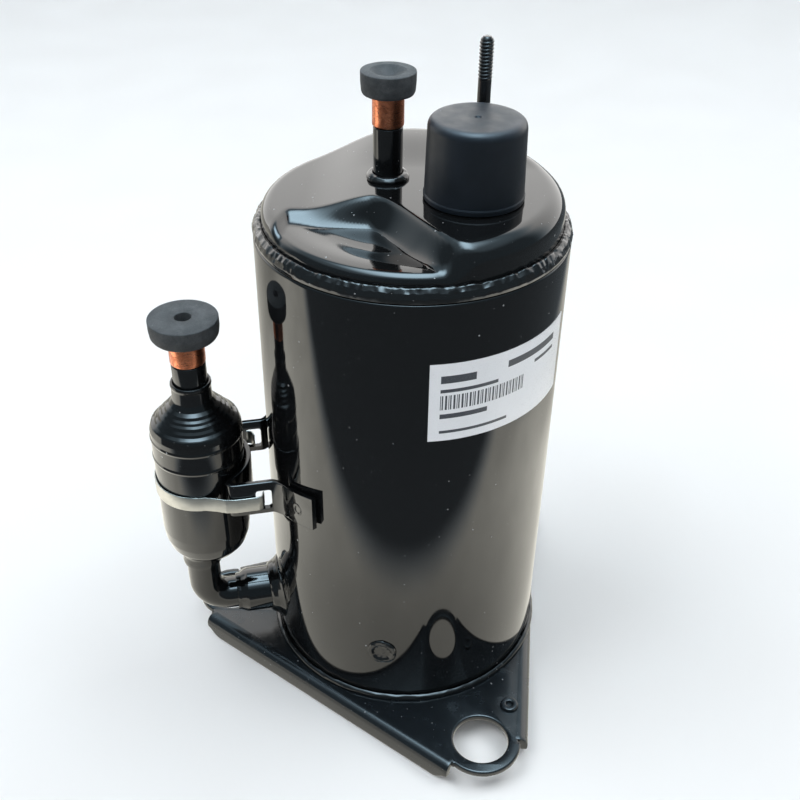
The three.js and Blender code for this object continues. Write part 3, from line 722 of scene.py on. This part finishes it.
def side_point(az, along, out):
    """A place along a side, and out from the axis towards it."""
    nx, ny = polar(1, az)
    return nx * out - ny * along, ny * out + nx * along


def lobe_from(foot, side, along):
    """The azimuth about a foot's centre of its lobe's outline, at a place along a side."""
    az, dist, lobe = foot
    reach = along - dist * math.sin(math.radians(az - side[0]))
    return side[0] + math.degrees(math.atan2(reach, math.sqrt(lobe ** 2 - reach ** 2)))


def base_outline():
    """The flat sheet's outline: the folds' lines, the lobes round the feet and the disc at the rear."""
    front, rear, left = FEET
    a, b, c, d = SIDES
    line = []

    def fold(side, along):
        line.append((*side_point(side[0], along, side[1] - BEND_R), 0.5))

    def lobe(foot, side_in, along_in, side_out, along_out):
        start, end = lobe_from(foot, side_in, along_in), lobe_from(foot, side_out, along_out)
        end = start + (end - start) % 360
        line.extend(arc(*polar(foot[1], foot[0]), foot[2], start, end, 40))

    def corner(side, foot, following):
        """Along a side's fold, then round the foot to where the following side starts."""
        fold(side, side[2][0] - 1)
        fold(side, side[2][1] + 1)
        lobe(foot, side, side[2][1] + 1, following, following[2][0] - 1)

    corner(a, front, b)
    corner(b, rear, c)
    fold(c, c[2][0] - 1)
    fold(c, c[2][1])
    leave = c[0] + math.degrees(math.asin(c[2][1] / BASE_DISC_R))
    meet = d[0] + math.degrees(math.asin((d[2][0] - 1) / BASE_DISC_R))
    line.extend(arc(0, 0, BASE_DISC_R, leave, meet, 60))
    corner(d, left, a)
    return rounded(line, 0.3, steps=3)


def flange(az, dist, ends):
    """A folded edge: flat start, bend, and a web whose lower corners are rounded."""
    start, end = ends
    fold = dist - BEND_R
    mid = PLATE_TOP - BEND_R
    # The strip's height over the flat sheet and its lap onto it, and the radii of its ends and its toe
    lift, lap, soft, toe = 0.02, 1.2, 0.35, 1.1
    reach = min(8, (end - start) * 0.4)
    stations = [start + soft * (1 - math.cos(math.pi / 2 * k / 3)) for k in range(4)]
    count = max(8, int((end - start) / 1.5))
    stations += [start + soft + (end - start - 2 * soft) * k / count for k in range(1, count)]
    stations += [end - (s - start) for s in reversed(stations[:4])]
    rows = []
    for s in stations:
        d = min(s - start, end - s)
        low = 3.8 * (1 - ease(d / reach)) ** 1.5
        shrink = soft - math.sqrt(max(0.0, soft ** 2 - max(0.0, soft - d) ** 2))
        outer = [(fold - lap, PLATE_TOP + lift - shrink), (fold, PLATE_TOP + lift - shrink)]
        outer += arc(fold, mid, BEND_R + lift - shrink, 84, 0, 9)
        outer += [(dist - shrink, low + 1.2)]
        foot = arc(dist - toe, low + toe + shrink, toe - shrink, 0, -90, 4)
        foot += arc(dist - PLATE_T + toe, low + toe + shrink, toe - shrink, -90, -180, 4)
        inner = [(dist - PLATE_T + shrink, low + 1.2)]
        inner += arc(fold, mid, BEND_R - PLATE_T + shrink, 0, 90, 4)
        inner += [(fold - lap, PLATE_TOP - PLATE_T + shrink)]
        rows.append([(*side_point(az, s, x), z) for x, z in outer + foot + inner])
    width = len(rows[0])
    verts = [v for row in rows for v in row]
    faces = bands(range(0, len(verts), width), width)
    faces.append(tuple(range(width)))
    faces.append(tuple(range(len(verts) - width, len(verts))))
    return verts, faces


def base_plate():
    holes = [arc(*polar(dist, az), FOOT_HOLE_R, 0, 360 - 5, 71) for az, dist, _ in FEET]
    holes.append(arc(0, 0, BASE_WELL_R, 0, 360 - 3, 119))
    parts = [flat_prism(base_outline(), PLATE_TOP - PLATE_T, PLATE_TOP, 0.9, holes, steps=4)]
    parts.extend(flange(*side) for side in SIDES)
    boss = rounded([(1.4, 9.6), (3.9, 9.6), (3.9, 10.4, 0.3), (3.5, 11.7, 0.7), (1.4, 11.7, 0.5)], 0.2)
    verts, faces = spun(boss, 40)
    parts.append(([(x + BOSS[0], y + BOSS[1], z) for x, y, z in verts], faces))
    verts, faces = merge(*parts)
    piece("base_plate_sheet", verts, faces, BASE_PAINT, "base_plate", slot="base_black", sharp=30)


base_plate()


# ---------------------------------------- label
def label():
    """A wrapped film with generic grey bars and strokes, and no writing."""
    low, high, start, end = 149.0, 181.5, -83.2, -20.0
    length = math.radians(end - start) * SHELL_R
    # A mark is its start and end along the film, and its lower and upper edges
    marks = [(4, 17, 173.5, 176.6), (4, 26, 169.6, 171.0), (30, 57, 174.4, 177.2), (44, 57, 170.6, 172.0),
             (4, 22, 158.6, 160.6), (4, 31, 152.2, 153.4)]
    u, k = 4.0, 0
    while u < 38:
        width = 0.28 + 0.22 * ((k * 7) % 3)
        marks.append((u, u + width, 162.4, 168.4))
        u += width + 0.3 + 0.2 * ((k * 5) % 3)
        k += 1
    us = [u for mark in marks for u in mark[:2]] + [length * i / 90 for i in range(91)]
    us = sorted(set(round(u, 4) for u in us))
    zs = sorted(set([z for mark in marks for z in mark[2:]] + [low + (high - low) * i / 8 for i in range(9)]))
    rows, verts = [], []
    for r in (SHELL_R + 0.24, SHELL_R + 0.06):
        for z in zs:
            rows.append(len(verts))
            verts.extend((*polar(r, start + math.degrees(u / SHELL_R)), z) for u in us)
    faces, ink = [], []
    count, levels = len(us), len(zs)
    for j in range(levels - 1):
        for i in range(count - 1):
            u_mid, z_mid = (us[i] + us[i + 1]) / 2, (zs[j] + zs[j + 1]) / 2
            printed = any(m[0] < u_mid < m[1] and m[2] < z_mid < m[3] for m in marks)
            a, b = rows[j] + i, rows[j + 1] + i
            faces.append((a, a + 1, b + 1, b))
            ink.append(int(printed))
            a, b = rows[levels + j] + i, rows[levels + j + 1] + i
            faces.append((a, b, b + 1, a + 1))
            ink.append(0)
    edge = [(0, i) for i in range(count)] + [(j, count - 1) for j in range(1, levels)]
    edge += [(levels - 1, i) for i in reversed(range(count - 1))]
    edge += [(j, 0) for j in reversed(range(1, levels - 1))]
    for (j, i), (j2, i2) in zip(edge, edge[1:] + edge[:1]):
        faces.append((rows[j] + i, rows[levels + j] + i, rows[levels + j2] + i2, rows[j2] + i2))
        ink.append(0)
    piece("label_film", verts, faces, [FILM, INK], "label", slot="label", faces_of=ink)


label()


# ---------------------------------------- discharge line, stud and terminal
turned("discharge_tube_skin", [(4.2, 206), (5.4, 206), (5.4, 241.5, 0.5), (4.2, 241.5)], PIPE_GLOSS,
       segments=72, rounding=0.2, at=DISCHARGE, stands_for="discharge_tube")
turned("discharge_weld_bead", [
    (5.7, 222.0), (7.9, 222.0, 0.2), (8.0, 223.0, 0.9), (7.0, 224.1, 0.8), (5.7, 224.4, 0.3),
], WELD_GLOSS, rounding=0.3, at=DISCHARGE, stands_for="discharge_weld", steps=6,
    lumps=lumpy(0.16, 2.6, 0.04, keep=lambda v: ease((v.z - 222.2) / 0.8)))
turned("discharge_stub_tube", [
    (3.9, 236), (3.9, 241.8, 0.3), (5.75, 241.8, 0.6), (5.75, 254.4, 0.3), (4.75, 254.4, 0.2),
    (4.75, 242.6, 0.3), (3.2, 242.4, 0.3), (3.2, 236),
], COPPER, segments=72, rounding=0.2, at=DISCHARGE, stands_for="discharge_stub", slot="copper")
turned("discharge_plug_rubber", [
    (0, 248.4), (4.5, 248.4, 0.6), (4.5, 254.7, 0.3), (6.05, 254.7, 0.2), (6.05, 253.2, 0.3),
    (9.1, 253.2, 0.8), (9.6, 254.4, 1.5), (9.88, 257.6, 2), (9.9, 261.25, 0.45), (6.5, 261.25, 0.5),
    (1.1, 258.4, 0.5), (0, 258.2),
], RUBBER, rounding=0.3, at=DISCHARGE, stands_for="discharge_plug", slot="rubber", body="discharge_plug",
    lumps=lumpy(0.05, 5.0, seed=2.0))
turned("terminal_cover_shell", [
    (15.8, 222.3, 0.3), (18.0, 222.3, 0.5), (18.05, 224, 0.5), (17.75, 224.6, 0.3), (17.1, 250.95, 3.4),
    (1.35, 250.95, 0.15), (1, 250.5, 0.1), (0, 250.5), (0, 248.7), (15, 248.7, 2.2),
], COVER, segments=128, rounding=0.3, at=TERMINAL, stands_for="terminal_cover", slot="cover_plastic",
    body="terminal_cover", steps=8, lumps=lumpy(0.06, 14.0, seed=5.0))
turned("terminal_gasket_ring", [(12.4, 222.2), (14.8, 222.2), (14.8, 223), (12.4, 223)], RUBBER,
       segments=72, rounding=0.2, at=TERMINAL, stands_for="terminal_gasket", slot="rubber")


def cover_stud():
    """A painted stud: plain shank, then a rolled thread with a chamfered tip."""
    pitch, depth, core, shank, top = 1.25, 0.42, 2.12, 2.4, 271.0
    thread_start, thread_end = 255.6, 270.4
    around = 48
    rows = [(2.1, 222.3, False)] + [(shank, z, False) for z in (222.6, 240, 255.2)]
    z = thread_start
    while z < thread_end - 0.2:
        rows.append((core, z, True))
        z += pitch / 10
    rows += [(1.75, 270.5, False), (1.55, top - 0.1, False), (1.35, top, False)]
    verts = [(0, 0, rows[0][1])]
    for r, z, threaded in rows:
        run_in = ease((z - thread_start) / 1.5)
        fade = run_in * ease((thread_end - z) / 1.2)
        for i in range(around):
            radius = r
            if threaded:
                phase = (z / pitch - i / around) % 1.0
                tooth = 1 - abs(2 * phase - 1)
                radius = r + depth * min(1.0, tooth * 1.25) * fade + (shank - core) * (1 - run_in)
            verts.append((*polar(radius, 360 * i / around), z))
    verts.append((0, 0, top))
    last = len(verts) - 1
    faces = bands(range(1, last, around), around)
    for i in range(around):
        k = (i + 1) % around
        faces.append((0, 1 + k, 1 + i))
        faces.append((last, last - around + i, last - around + k))
    moved = [(x + STUD[0], y + STUD[1], z) for x, y, z in verts]
    piece("cover_stud_thread", moved, faces, STUD_STEEL, "cover_stud", slot="dark_steel", sharp=50)


cover_stud()


# ---------------------------------------- accumulator
def on_accumulator(v):
    """From a part turned about +Z to the same part on the accumulator's axis."""
    return suction_place(Vector((v.x + ACC_DIST, v.y, v.z)))


def hung(name, profile, finish, **rest):
    return turned(name, profile, finish, place=on_accumulator, **rest)


def accumulator_can():
    """A spun can with its neck, the hole for the pipe at its foot, and the braze round that pipe."""
    made = hung("accumulator_can", [
        (0, 60.6), (9.4, 60.9, 2), (13.0, 62.8, 3), (16.2, 66.9, 4), (17.7, 71.8, 4), (ACC_R, 76.8, 6),
        (ACC_R, 113.3, 0.5), (ACC_R + 0.35, 114.2, 0.6), (ACC_R, 115.1, 0.5),
        (ACC_R, 122.2, 0.5), (ACC_R + 0.35, 123.1, 0.6), (ACC_R, 124.0, 0.5), (ACC_R, 126.4, 1.4),
        (17.4, 129.0, 0.9), (16.9, 129.5, 0.5), (15.8, 130.3, 0.7), (15.2, 131.2, 0.6), (14.3, 132.1, 0.7),
        (13.7, 133.1, 0.6), (12.8, 133.8, 0.7), (12.2, 134.6, 0.6), (11.3, 135.3, 0.7), (10.7, 136.3, 0.6),
        (9.2, 137.4, 0.9), (7.95, 139.6, 1.2), (7.8, 144.9, 0.6), (8.1, 146, 0.6), (7.9, 147.1, 0.5),
        (6.95, 147.2), (6.95, 137.8), (16.6, 124.6, 3), (16.6, 73.6, 4), (12.2, 64.8, 4), (0, 63),
    ], GLOSS, segments=144, stands_for="accumulator_shell",
        lumps=lumpy(0.10, 6.0, 0.03, keep=lambda v: ease((v.z - 125.6) / 4) * ease((147.4 - v.z) / 3)))
    pipe_hole = arc(ACC_DIST + PIPE_SHIFT, 0, PIPE_R + 0.25, 0, 360 - 5, 71)
    cut_with(made, [flat_prism(pipe_hole, 50, 70, 0.01, steps=1)])
    hung("accumulator_neck_braze", [
        (7.2, 53.6), (8.2, 53.7, 0.5), (8.35, 55.6, 0.8), (7.95, 58.4, 1.2), (9.2, 61.3, 1.2), (9.2, 62),
        (7.2, 62),
    ], WELD_GLOSS, at=(PIPE_SHIFT, 0), lumps=lumpy(0.10, 3.0, 0.03, seed=4.0))


accumulator_can()
hung("accumulator_inlet_tube", [(5.4, 141), (6.7, 141), (6.7, 155.8, 0.6), (5.4, 155.8)], PIPE_GLOSS,
     segments=72, stands_for="accumulator_inlet")
hung("accumulator_stub_tube", [
    (4.1, 149), (5.1, 149), (5.1, 156.1, 0.3), (6.9, 156.1, 0.7), (6.9, 168.2, 0.3), (5.7, 168.2, 0.2),
    (5.7, 157.4, 0.4), (4.1, 156.6, 0.3),
], COPPER, segments=72, stands_for="accumulator_stub", slot="copper")
hung("suction_plug_rubber", [
    (0, 162.4), (5.4, 162.4, 0.6), (5.4, 168.5, 0.3), (7.2, 168.5, 0.2), (7.2, 167.4, 0.3),
    (12.2, 167.4, 0.7), (12.95, 168.6, 2), (13.35, 171.4, 2), (13.35, 175.5, 0.5), (3.2, 175.5, 0.35),
    (2.8, 170, 0.3), (0, 170),
], RUBBER, segments=112, stands_for="suction_plug", slot="rubber", body="suction_plug",
    lumps=lumpy(0.06, 6.0, seed=9.0))


def suction_pipe():
    """The pipe from the accumulator's foot, round its elbow and into the shell."""
    top = SUCTION_Z + ELBOW_R
    down = ACC_DIST + PIPE_SHIFT
    line = [(down, z) for z in (98, 60, 52, 46)]
    line += arc(down - ELBOW_R, top, ELBOW_R, 0, -90, 24)
    line += [(x, SUCTION_Z) for x in (70, 58, 44)]
    around = 64
    verts = []
    for j, (x, z) in enumerate(line):
        a, b = line[max(j - 1, 0)], line[min(j + 1, len(line) - 1)]
        along = Vector((b[0] - a[0], 0, b[1] - a[1])).normalized()
        side = Vector((0, 1, 0))
        up = along.cross(side)
        for r in (PIPE_R, PIPE_R - PIPE_WALL):
            for i in range(around):
                u, v = polar(r, 360 * i / around)
                verts.append(Vector((x, 0, z)) + side * u + up * v)
    outer = range(0, len(verts), 2 * around)
    inner = range(around, len(verts), 2 * around)
    faces = bands(outer, around) + bands(inner, around)
    for end in (0, -1):
        faces += bands((outer[end], inner[end]), around)
    piece("suction_pipe_bent", verts, faces, PIPE_GLOSS, "suction_pipe", place=suction_place,
          lumps=lumpy(0.12, 7.0, seed=1.3, keep=lambda v: ease((52 - v.z) / 6)))


suction_pipe()
turned("suction_sleeve_skin", [
    (7.3, 55.9), (9.8, 55.9), (9.8, 73.0, 0.9), (9.3, 74.4, 0.9), (8.3, 76.2, 0.9), (7.9, 77.9, 0.6),
    (7.3, 77.9),
], PIPE_GLOSS, segments=80, place=radial_place(SUCTION_AZ, SUCTION_Z), stands_for="suction_sleeve", steps=5,
    lumps=lumpy(0.55, 3.2, 0.2, keep=lambda v: ease((math.hypot(v.x, v.y) - 73.0) / 1.5)))


def suction_collar():
    """The fillet weld round the sleeve; its back follows the shell's curve."""
    out, side = outward(SUCTION_AZ), outward(SUCTION_AZ + 90)

    def follow(v):
        """v.z is the height above the shell's own surface."""
        across = math.sqrt(max(0.0, (SHELL_R + 0.05) ** 2 - v.x ** 2))
        return out * (across + v.z) + side * v.x + Vector((0, 0, SUCTION_Z + v.y))

    turned("suction_collar_weld", [
        (9.9, -0.6), (14.2, -0.6), (14.4, 0.15, 0.2), (13.4, 0.9, 1.0), (12.1, 2.1, 1.4), (11.2, 4.0, 1.2),
        (10.4, 4.8, 0.5), (9.9, 4.8),
    ], WELD_GLOSS, segments=120, place=follow, stands_for="suction_collar", steps=5,
        lumps=lumpy(0.22, 4.0, 0.06, seed=7.0))


suction_collar()


# ---------------------------------------- bracket and band
def tab_line(s):
    """The tab that follows the shell, on side s."""
    return [polar(60.6 + 0.3 * i / 3, s * (24.6 + 16.8 * i / 9)) for i in range(10)]


def side_line(points, s, radius, steps=4):
    """A rounded line with its points on side s of the +X line."""
    return rounded([(x, s * y, *own) for x, y, *own in points], radius, closed=False, steps=steps)


def accumulator_bracket():
    """A saddle on the can, two arms with a window each, and two rising tabs welded to the shell."""
    low, high = 93.5, 109.3
    tab_start, tab_rise = 24.5, 0.28
    arm = [(76, 17), (77.6, 18.8, 1.0), (76.4, 20.6, 1.0), (74, 20.9, 1.0), (60, 20.9, 1.6), (58.4, 21.8)]
    saddle = arc(ACC_DIST, 0, ACC_R + 1.5, 128, 232, 36)
    line = tab_line(1)[::-1] + side_line(arm, 1, 0.6)[::-1] + saddle + side_line(arm, -1, 0.6) + tab_line(-1)
    clean = [line[0]]
    for p in line[1:]:
        if math.dist(p, clean[-1]) > 0.15:
            clean.append(p)
    verts, faces = flat_prism(strip_outline(clean, 2.2), low, high, 0.45, steps=3)

    def risen(v):
        return v + Vector((0, 0, tab_rise * max(0.0, abs(v.y) - tab_start)))

    made = piece("accumulator_bracket_plate", verts, faces, GLOSS, "accumulator_bracket",
                 place=lambda v: suction_place(risen(v)), sharp=30)
    window = rounded([(60.6, 95.9), (67, 95.9), (67, 105.4), (60.6, 105.4)], 1.3)
    verts, faces = flat_prism(window, 18, 24, 0.01, steps=1)
    cut_with(made, [([(x, s * z, y) for x, y, z in verts], faces) for s in (1, -1)])
    for s, tag in ((1, "front"), (-1, "rear")):
        az = s * 33.5
        cx, cy = polar(61.85, az)
        out, side = outward(az), outward(az + 90)
        centre = Vector((cx, cy, (low + high) / 2 + tab_rise * (abs(cy) - tab_start)))

        def onto(v, out=out, side=side, centre=centre):
            return suction_place(centre + out * v.z + side * v.x + Vector((0, 0, v.y)))

        turned(f"bracket_spot_weld_{tag}", [
            (0, -0.4), (3.0, -0.4), (3.0, -0.05, 0.2), (2.5, 0.5, 0.5), (1.7, 0.42, 0.5), (1.1, -0.15, 0.5),
            (0, 0.3),
        ], WELD_GLOSS, segments=48, place=onto, steps=5, lumps=lumpy(0.2, 1.8, 0.05, seed=s))


accumulator_bracket()


def accumulator_band():
    """A steel strap round the can, whose ends hook through the bracket's windows."""
    end = [(83, 20.2), (79, 22, 2), (75, 22.7, 2), (66, 22.7, 1), (64.4, 22, 0.8), (63.7, 19.2)]
    loop = arc(ACC_DIST, 0, ACC_R + 0.55, -90, 90, 80)
    line = side_line(end, -1, 1.0, steps=5)[::-1] + loop + side_line(end, 1, 1.0, steps=5)
    verts, faces = flat_prism(strip_outline(line, 0.6), 96.2, 103, 0.22, steps=3)
    piece("accumulator_band_strip", verts, faces, BAND, "accumulator_band", slot="bare_steel",
          place=suction_place, sharp=30)


accumulator_band()


# ---------------------------------------- internal CAD nodes
INSIDE = (
    (GROUND, "terminal_body terminal_pin_1 terminal_pin_2 terminal_pin_3 strainer baffle crankshaft"
             " oil_paddle roller vane vane_spring discharge_reed reed_stop reed_rivet muffler"),
    (GLASS, "terminal_glass"),
    (CONNECTOR, "lead_connector"),
    (SLEEVING, "motor_lead"),
    (LAMINATIONS, "stator_core rotor_core"),
    (WINDINGS, "winding_upper winding_lower"),
    (ALUMINIUM, "rotor_ring_upper rotor_ring_lower"),
    (BRASS, "balance_weight_upper balance_weight_lower"),
    (IRON, "main_bearing cylinder sub_bearing"),
    (STUD_STEEL, "pump_bolt_1 pump_bolt_2 pump_bolt_3 pump_bolt_4"),
)
for finish_of_nodes, node_names in INSIDE:
    for node_name in node_names.split():
        for node_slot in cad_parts[node_name].material_slots:
            node_slot.material = finish_of_nodes


# ---------------------------------------- studio
def stage_mesh(name, verts, faces, material, seen):
    """A stage object in metres that only the named kinds of ray see."""
    mesh = bpy.data.meshes.new(name)
    mesh.from_pydata(verts, [], faces)
    mesh.materials.append(material)
    made = bpy.data.objects.new(name, mesh)
    bpy.context.scene.collection.objects.link(made)
    for kind in ("camera", "diffuse", "glossy", "transmission", "volume_scatter", "shadow"):
        setattr(made, "visible_" + kind, kind in seen)
    return made


def floor():
    """What the camera sees of the ground. The paint mirrors the table card in its place."""
    f = Finish("floor")
    f.color(f.mix(f.noise(300, 3), (0.90, 0.90, 0.895), (0.93, 0.93, 0.925)))
    f.roughness(f.ramp(f.noise(60, 2), 0.3, 0.7, 0.85, 0.95))
    s = 12
    stage_mesh("floor", [(-s, -s, 0), (s, -s, 0), (s, s, 0), (-s, s, 0)], [(0, 1, 2, 3)], f.material,
               ("camera", "diffuse", "shadow"))


class Glow(Finish):
    """An emitting stage material whose strength and colour follow the place."""

    def __init__(self, name):
        super().__init__(name)
        self.tree.nodes.remove(self.shader)
        self.emission = self.tree.nodes.new("ShaderNodeEmission")
        self.tree.links.new(self.emission.outputs[0], self.tree.nodes["Material Output"].inputs["Surface"])
        self.axes = self.node("SeparateXYZ", {"Vector": self.place}).outputs

    def shine(self, color, strength):
        self.tree.links.new(color, self.emission.inputs["Color"])
        self.tree.links.new(strength, self.emission.inputs["Strength"])


def table_card():
    """What the paint mirrors below the horizon: a lit table top that ends in front of the object, darker near
    the object as a painted contact shadow.
    """
    f = Glow("table_card")
    near = f.ramp(f.axes[1], -0.168, -0.115)
    right = f.ramp(f.axes[0], 0.33, 0.25)
    lit = f.times(near, right)
    away = f.node("VectorMath", {0: f.place}, operation="LENGTH").outputs["Value"]
    # Painted shadow: the glow is dimmed close to the object, standing in for the contact shadow on the table
    shade = f.ramp(away, 0.07, 0.19, 0.42, 1.0)
    left = f.ramp(f.axes[0], -0.12, -0.34, 1.0, 1.15)
    back = f.ramp(f.axes[1], -0.02, 0.20, 1.0, 0.30)
    level = f.times(f.times(lit, shade), f.times(left, back))
    cloud = f.ramp(f.noise(70, 3), 0.3, 0.7, 0.92, 1.06)
    strength = f.math("MULTIPLY_ADD", f.times(level, cloud), 1.95, 0.22)
    f.shine(f.mix(lit, (0.80, 0.92, 1.0), (1.0, 0.975, 0.87)), strength)
    s = 5
    z = -0.0004
    stage_mesh("table_card", [(-s, -s, z), (s, -s, z), (s, s, z), (-s, s, z)], [(0, 1, 2, 3)], f.material,
               ("glossy",))


def studio_dome():
    """What the paint mirrors above: a pale rear wall, a cooler ceiling with a bright strip, a dark front."""
    f = Glow("studio_dome")
    unit = f.node("VectorMath", {0: f.place}, operation="NORMALIZE").outputs["Vector"]
    x, y, z = f.node("SeparateXYZ", {"Vector": unit}).outputs
    rear = f.times(f.ramp(y, 0.1, 0.55), f.ramp(z, 0.78, 0.62))
    ceiling = f.ramp(z, 0.60, 0.84)
    panel = f.times(f.ramp(z, 0.80, 0.98), f.ramp(f.math("ABSOLUTE", x), 0.55, 0.05))
    overhead = f.math("MULTIPLY_ADD", panel, 12.0, f.math("MULTIPLY_ADD", ceiling, 0.9, 0.28))
    strength = f.math("ADD", f.times(rear, 2.1), overhead)
    f.shine(f.mix(rear, (0.62, 0.85, 1.0), (1.0, 0.99, 0.97)), strength)
    ball = bmesh.new()
    bmesh.ops.create_icosphere(ball, subdivisions=5, radius=6)
    verts = [tuple(v.co) for v in ball.verts]
    faces = [tuple(v.index for v in face.verts) for face in ball.faces]
    ball.free()
    dome = stage_mesh("studio_dome", verts, faces, f.material, ("glossy",))
    dome.data.shade_smooth()


def softbox(name, spot, aim, width, depth, radiance, color):
    """A soft lamp that lights the matt surfaces and isn't mirrored in the paint."""
    data = bpy.data.lights.new(name, "AREA")
    data.shape = "RECTANGLE"
    data.size, data.size_y = width, depth
    data.energy = radiance * math.pi * width * depth
    data.color = color
    lamp = bpy.data.objects.new(name, data)
    lamp.visible_glossy = False
    lamp.location = spot
    lamp.rotation_euler = (Vector(aim) - Vector(spot)).to_track_quat("-Z", "Y").to_euler()
    bpy.context.scene.collection.objects.link(lamp)


def studio():
    floor()
    table_card()
    studio_dome()
    softbox("softbox_left", (-0.75, -0.15, 1.35), (0, 0, 0.15), 1.1, 0.8, 4.2, (0.93, 0.97, 1.0))
    softbox("softbox_right", (0.75, 0.25, 1.45), (0, 0, 0.15), 1.0, 0.8, 3.6, (0.94, 0.98, 1.0))
    softbox("softbox_front", (0.15, -1.1, 1.5), (0, 0, 0.1), 0.9, 0.25, 2.2, (0.95, 0.98, 1.0))
    world = bpy.data.worlds.new("studio_air")
    world.use_nodes = True
    air = world.node_tree.nodes["Background"]
    air.inputs["Color"].default_value = (0.95, 0.97, 1.0, 1)
    air.inputs["Strength"].default_value = 0.45
    bpy.context.scene.world = world
    bpy.context.scene.view_settings.view_transform = "Standard"


studio()
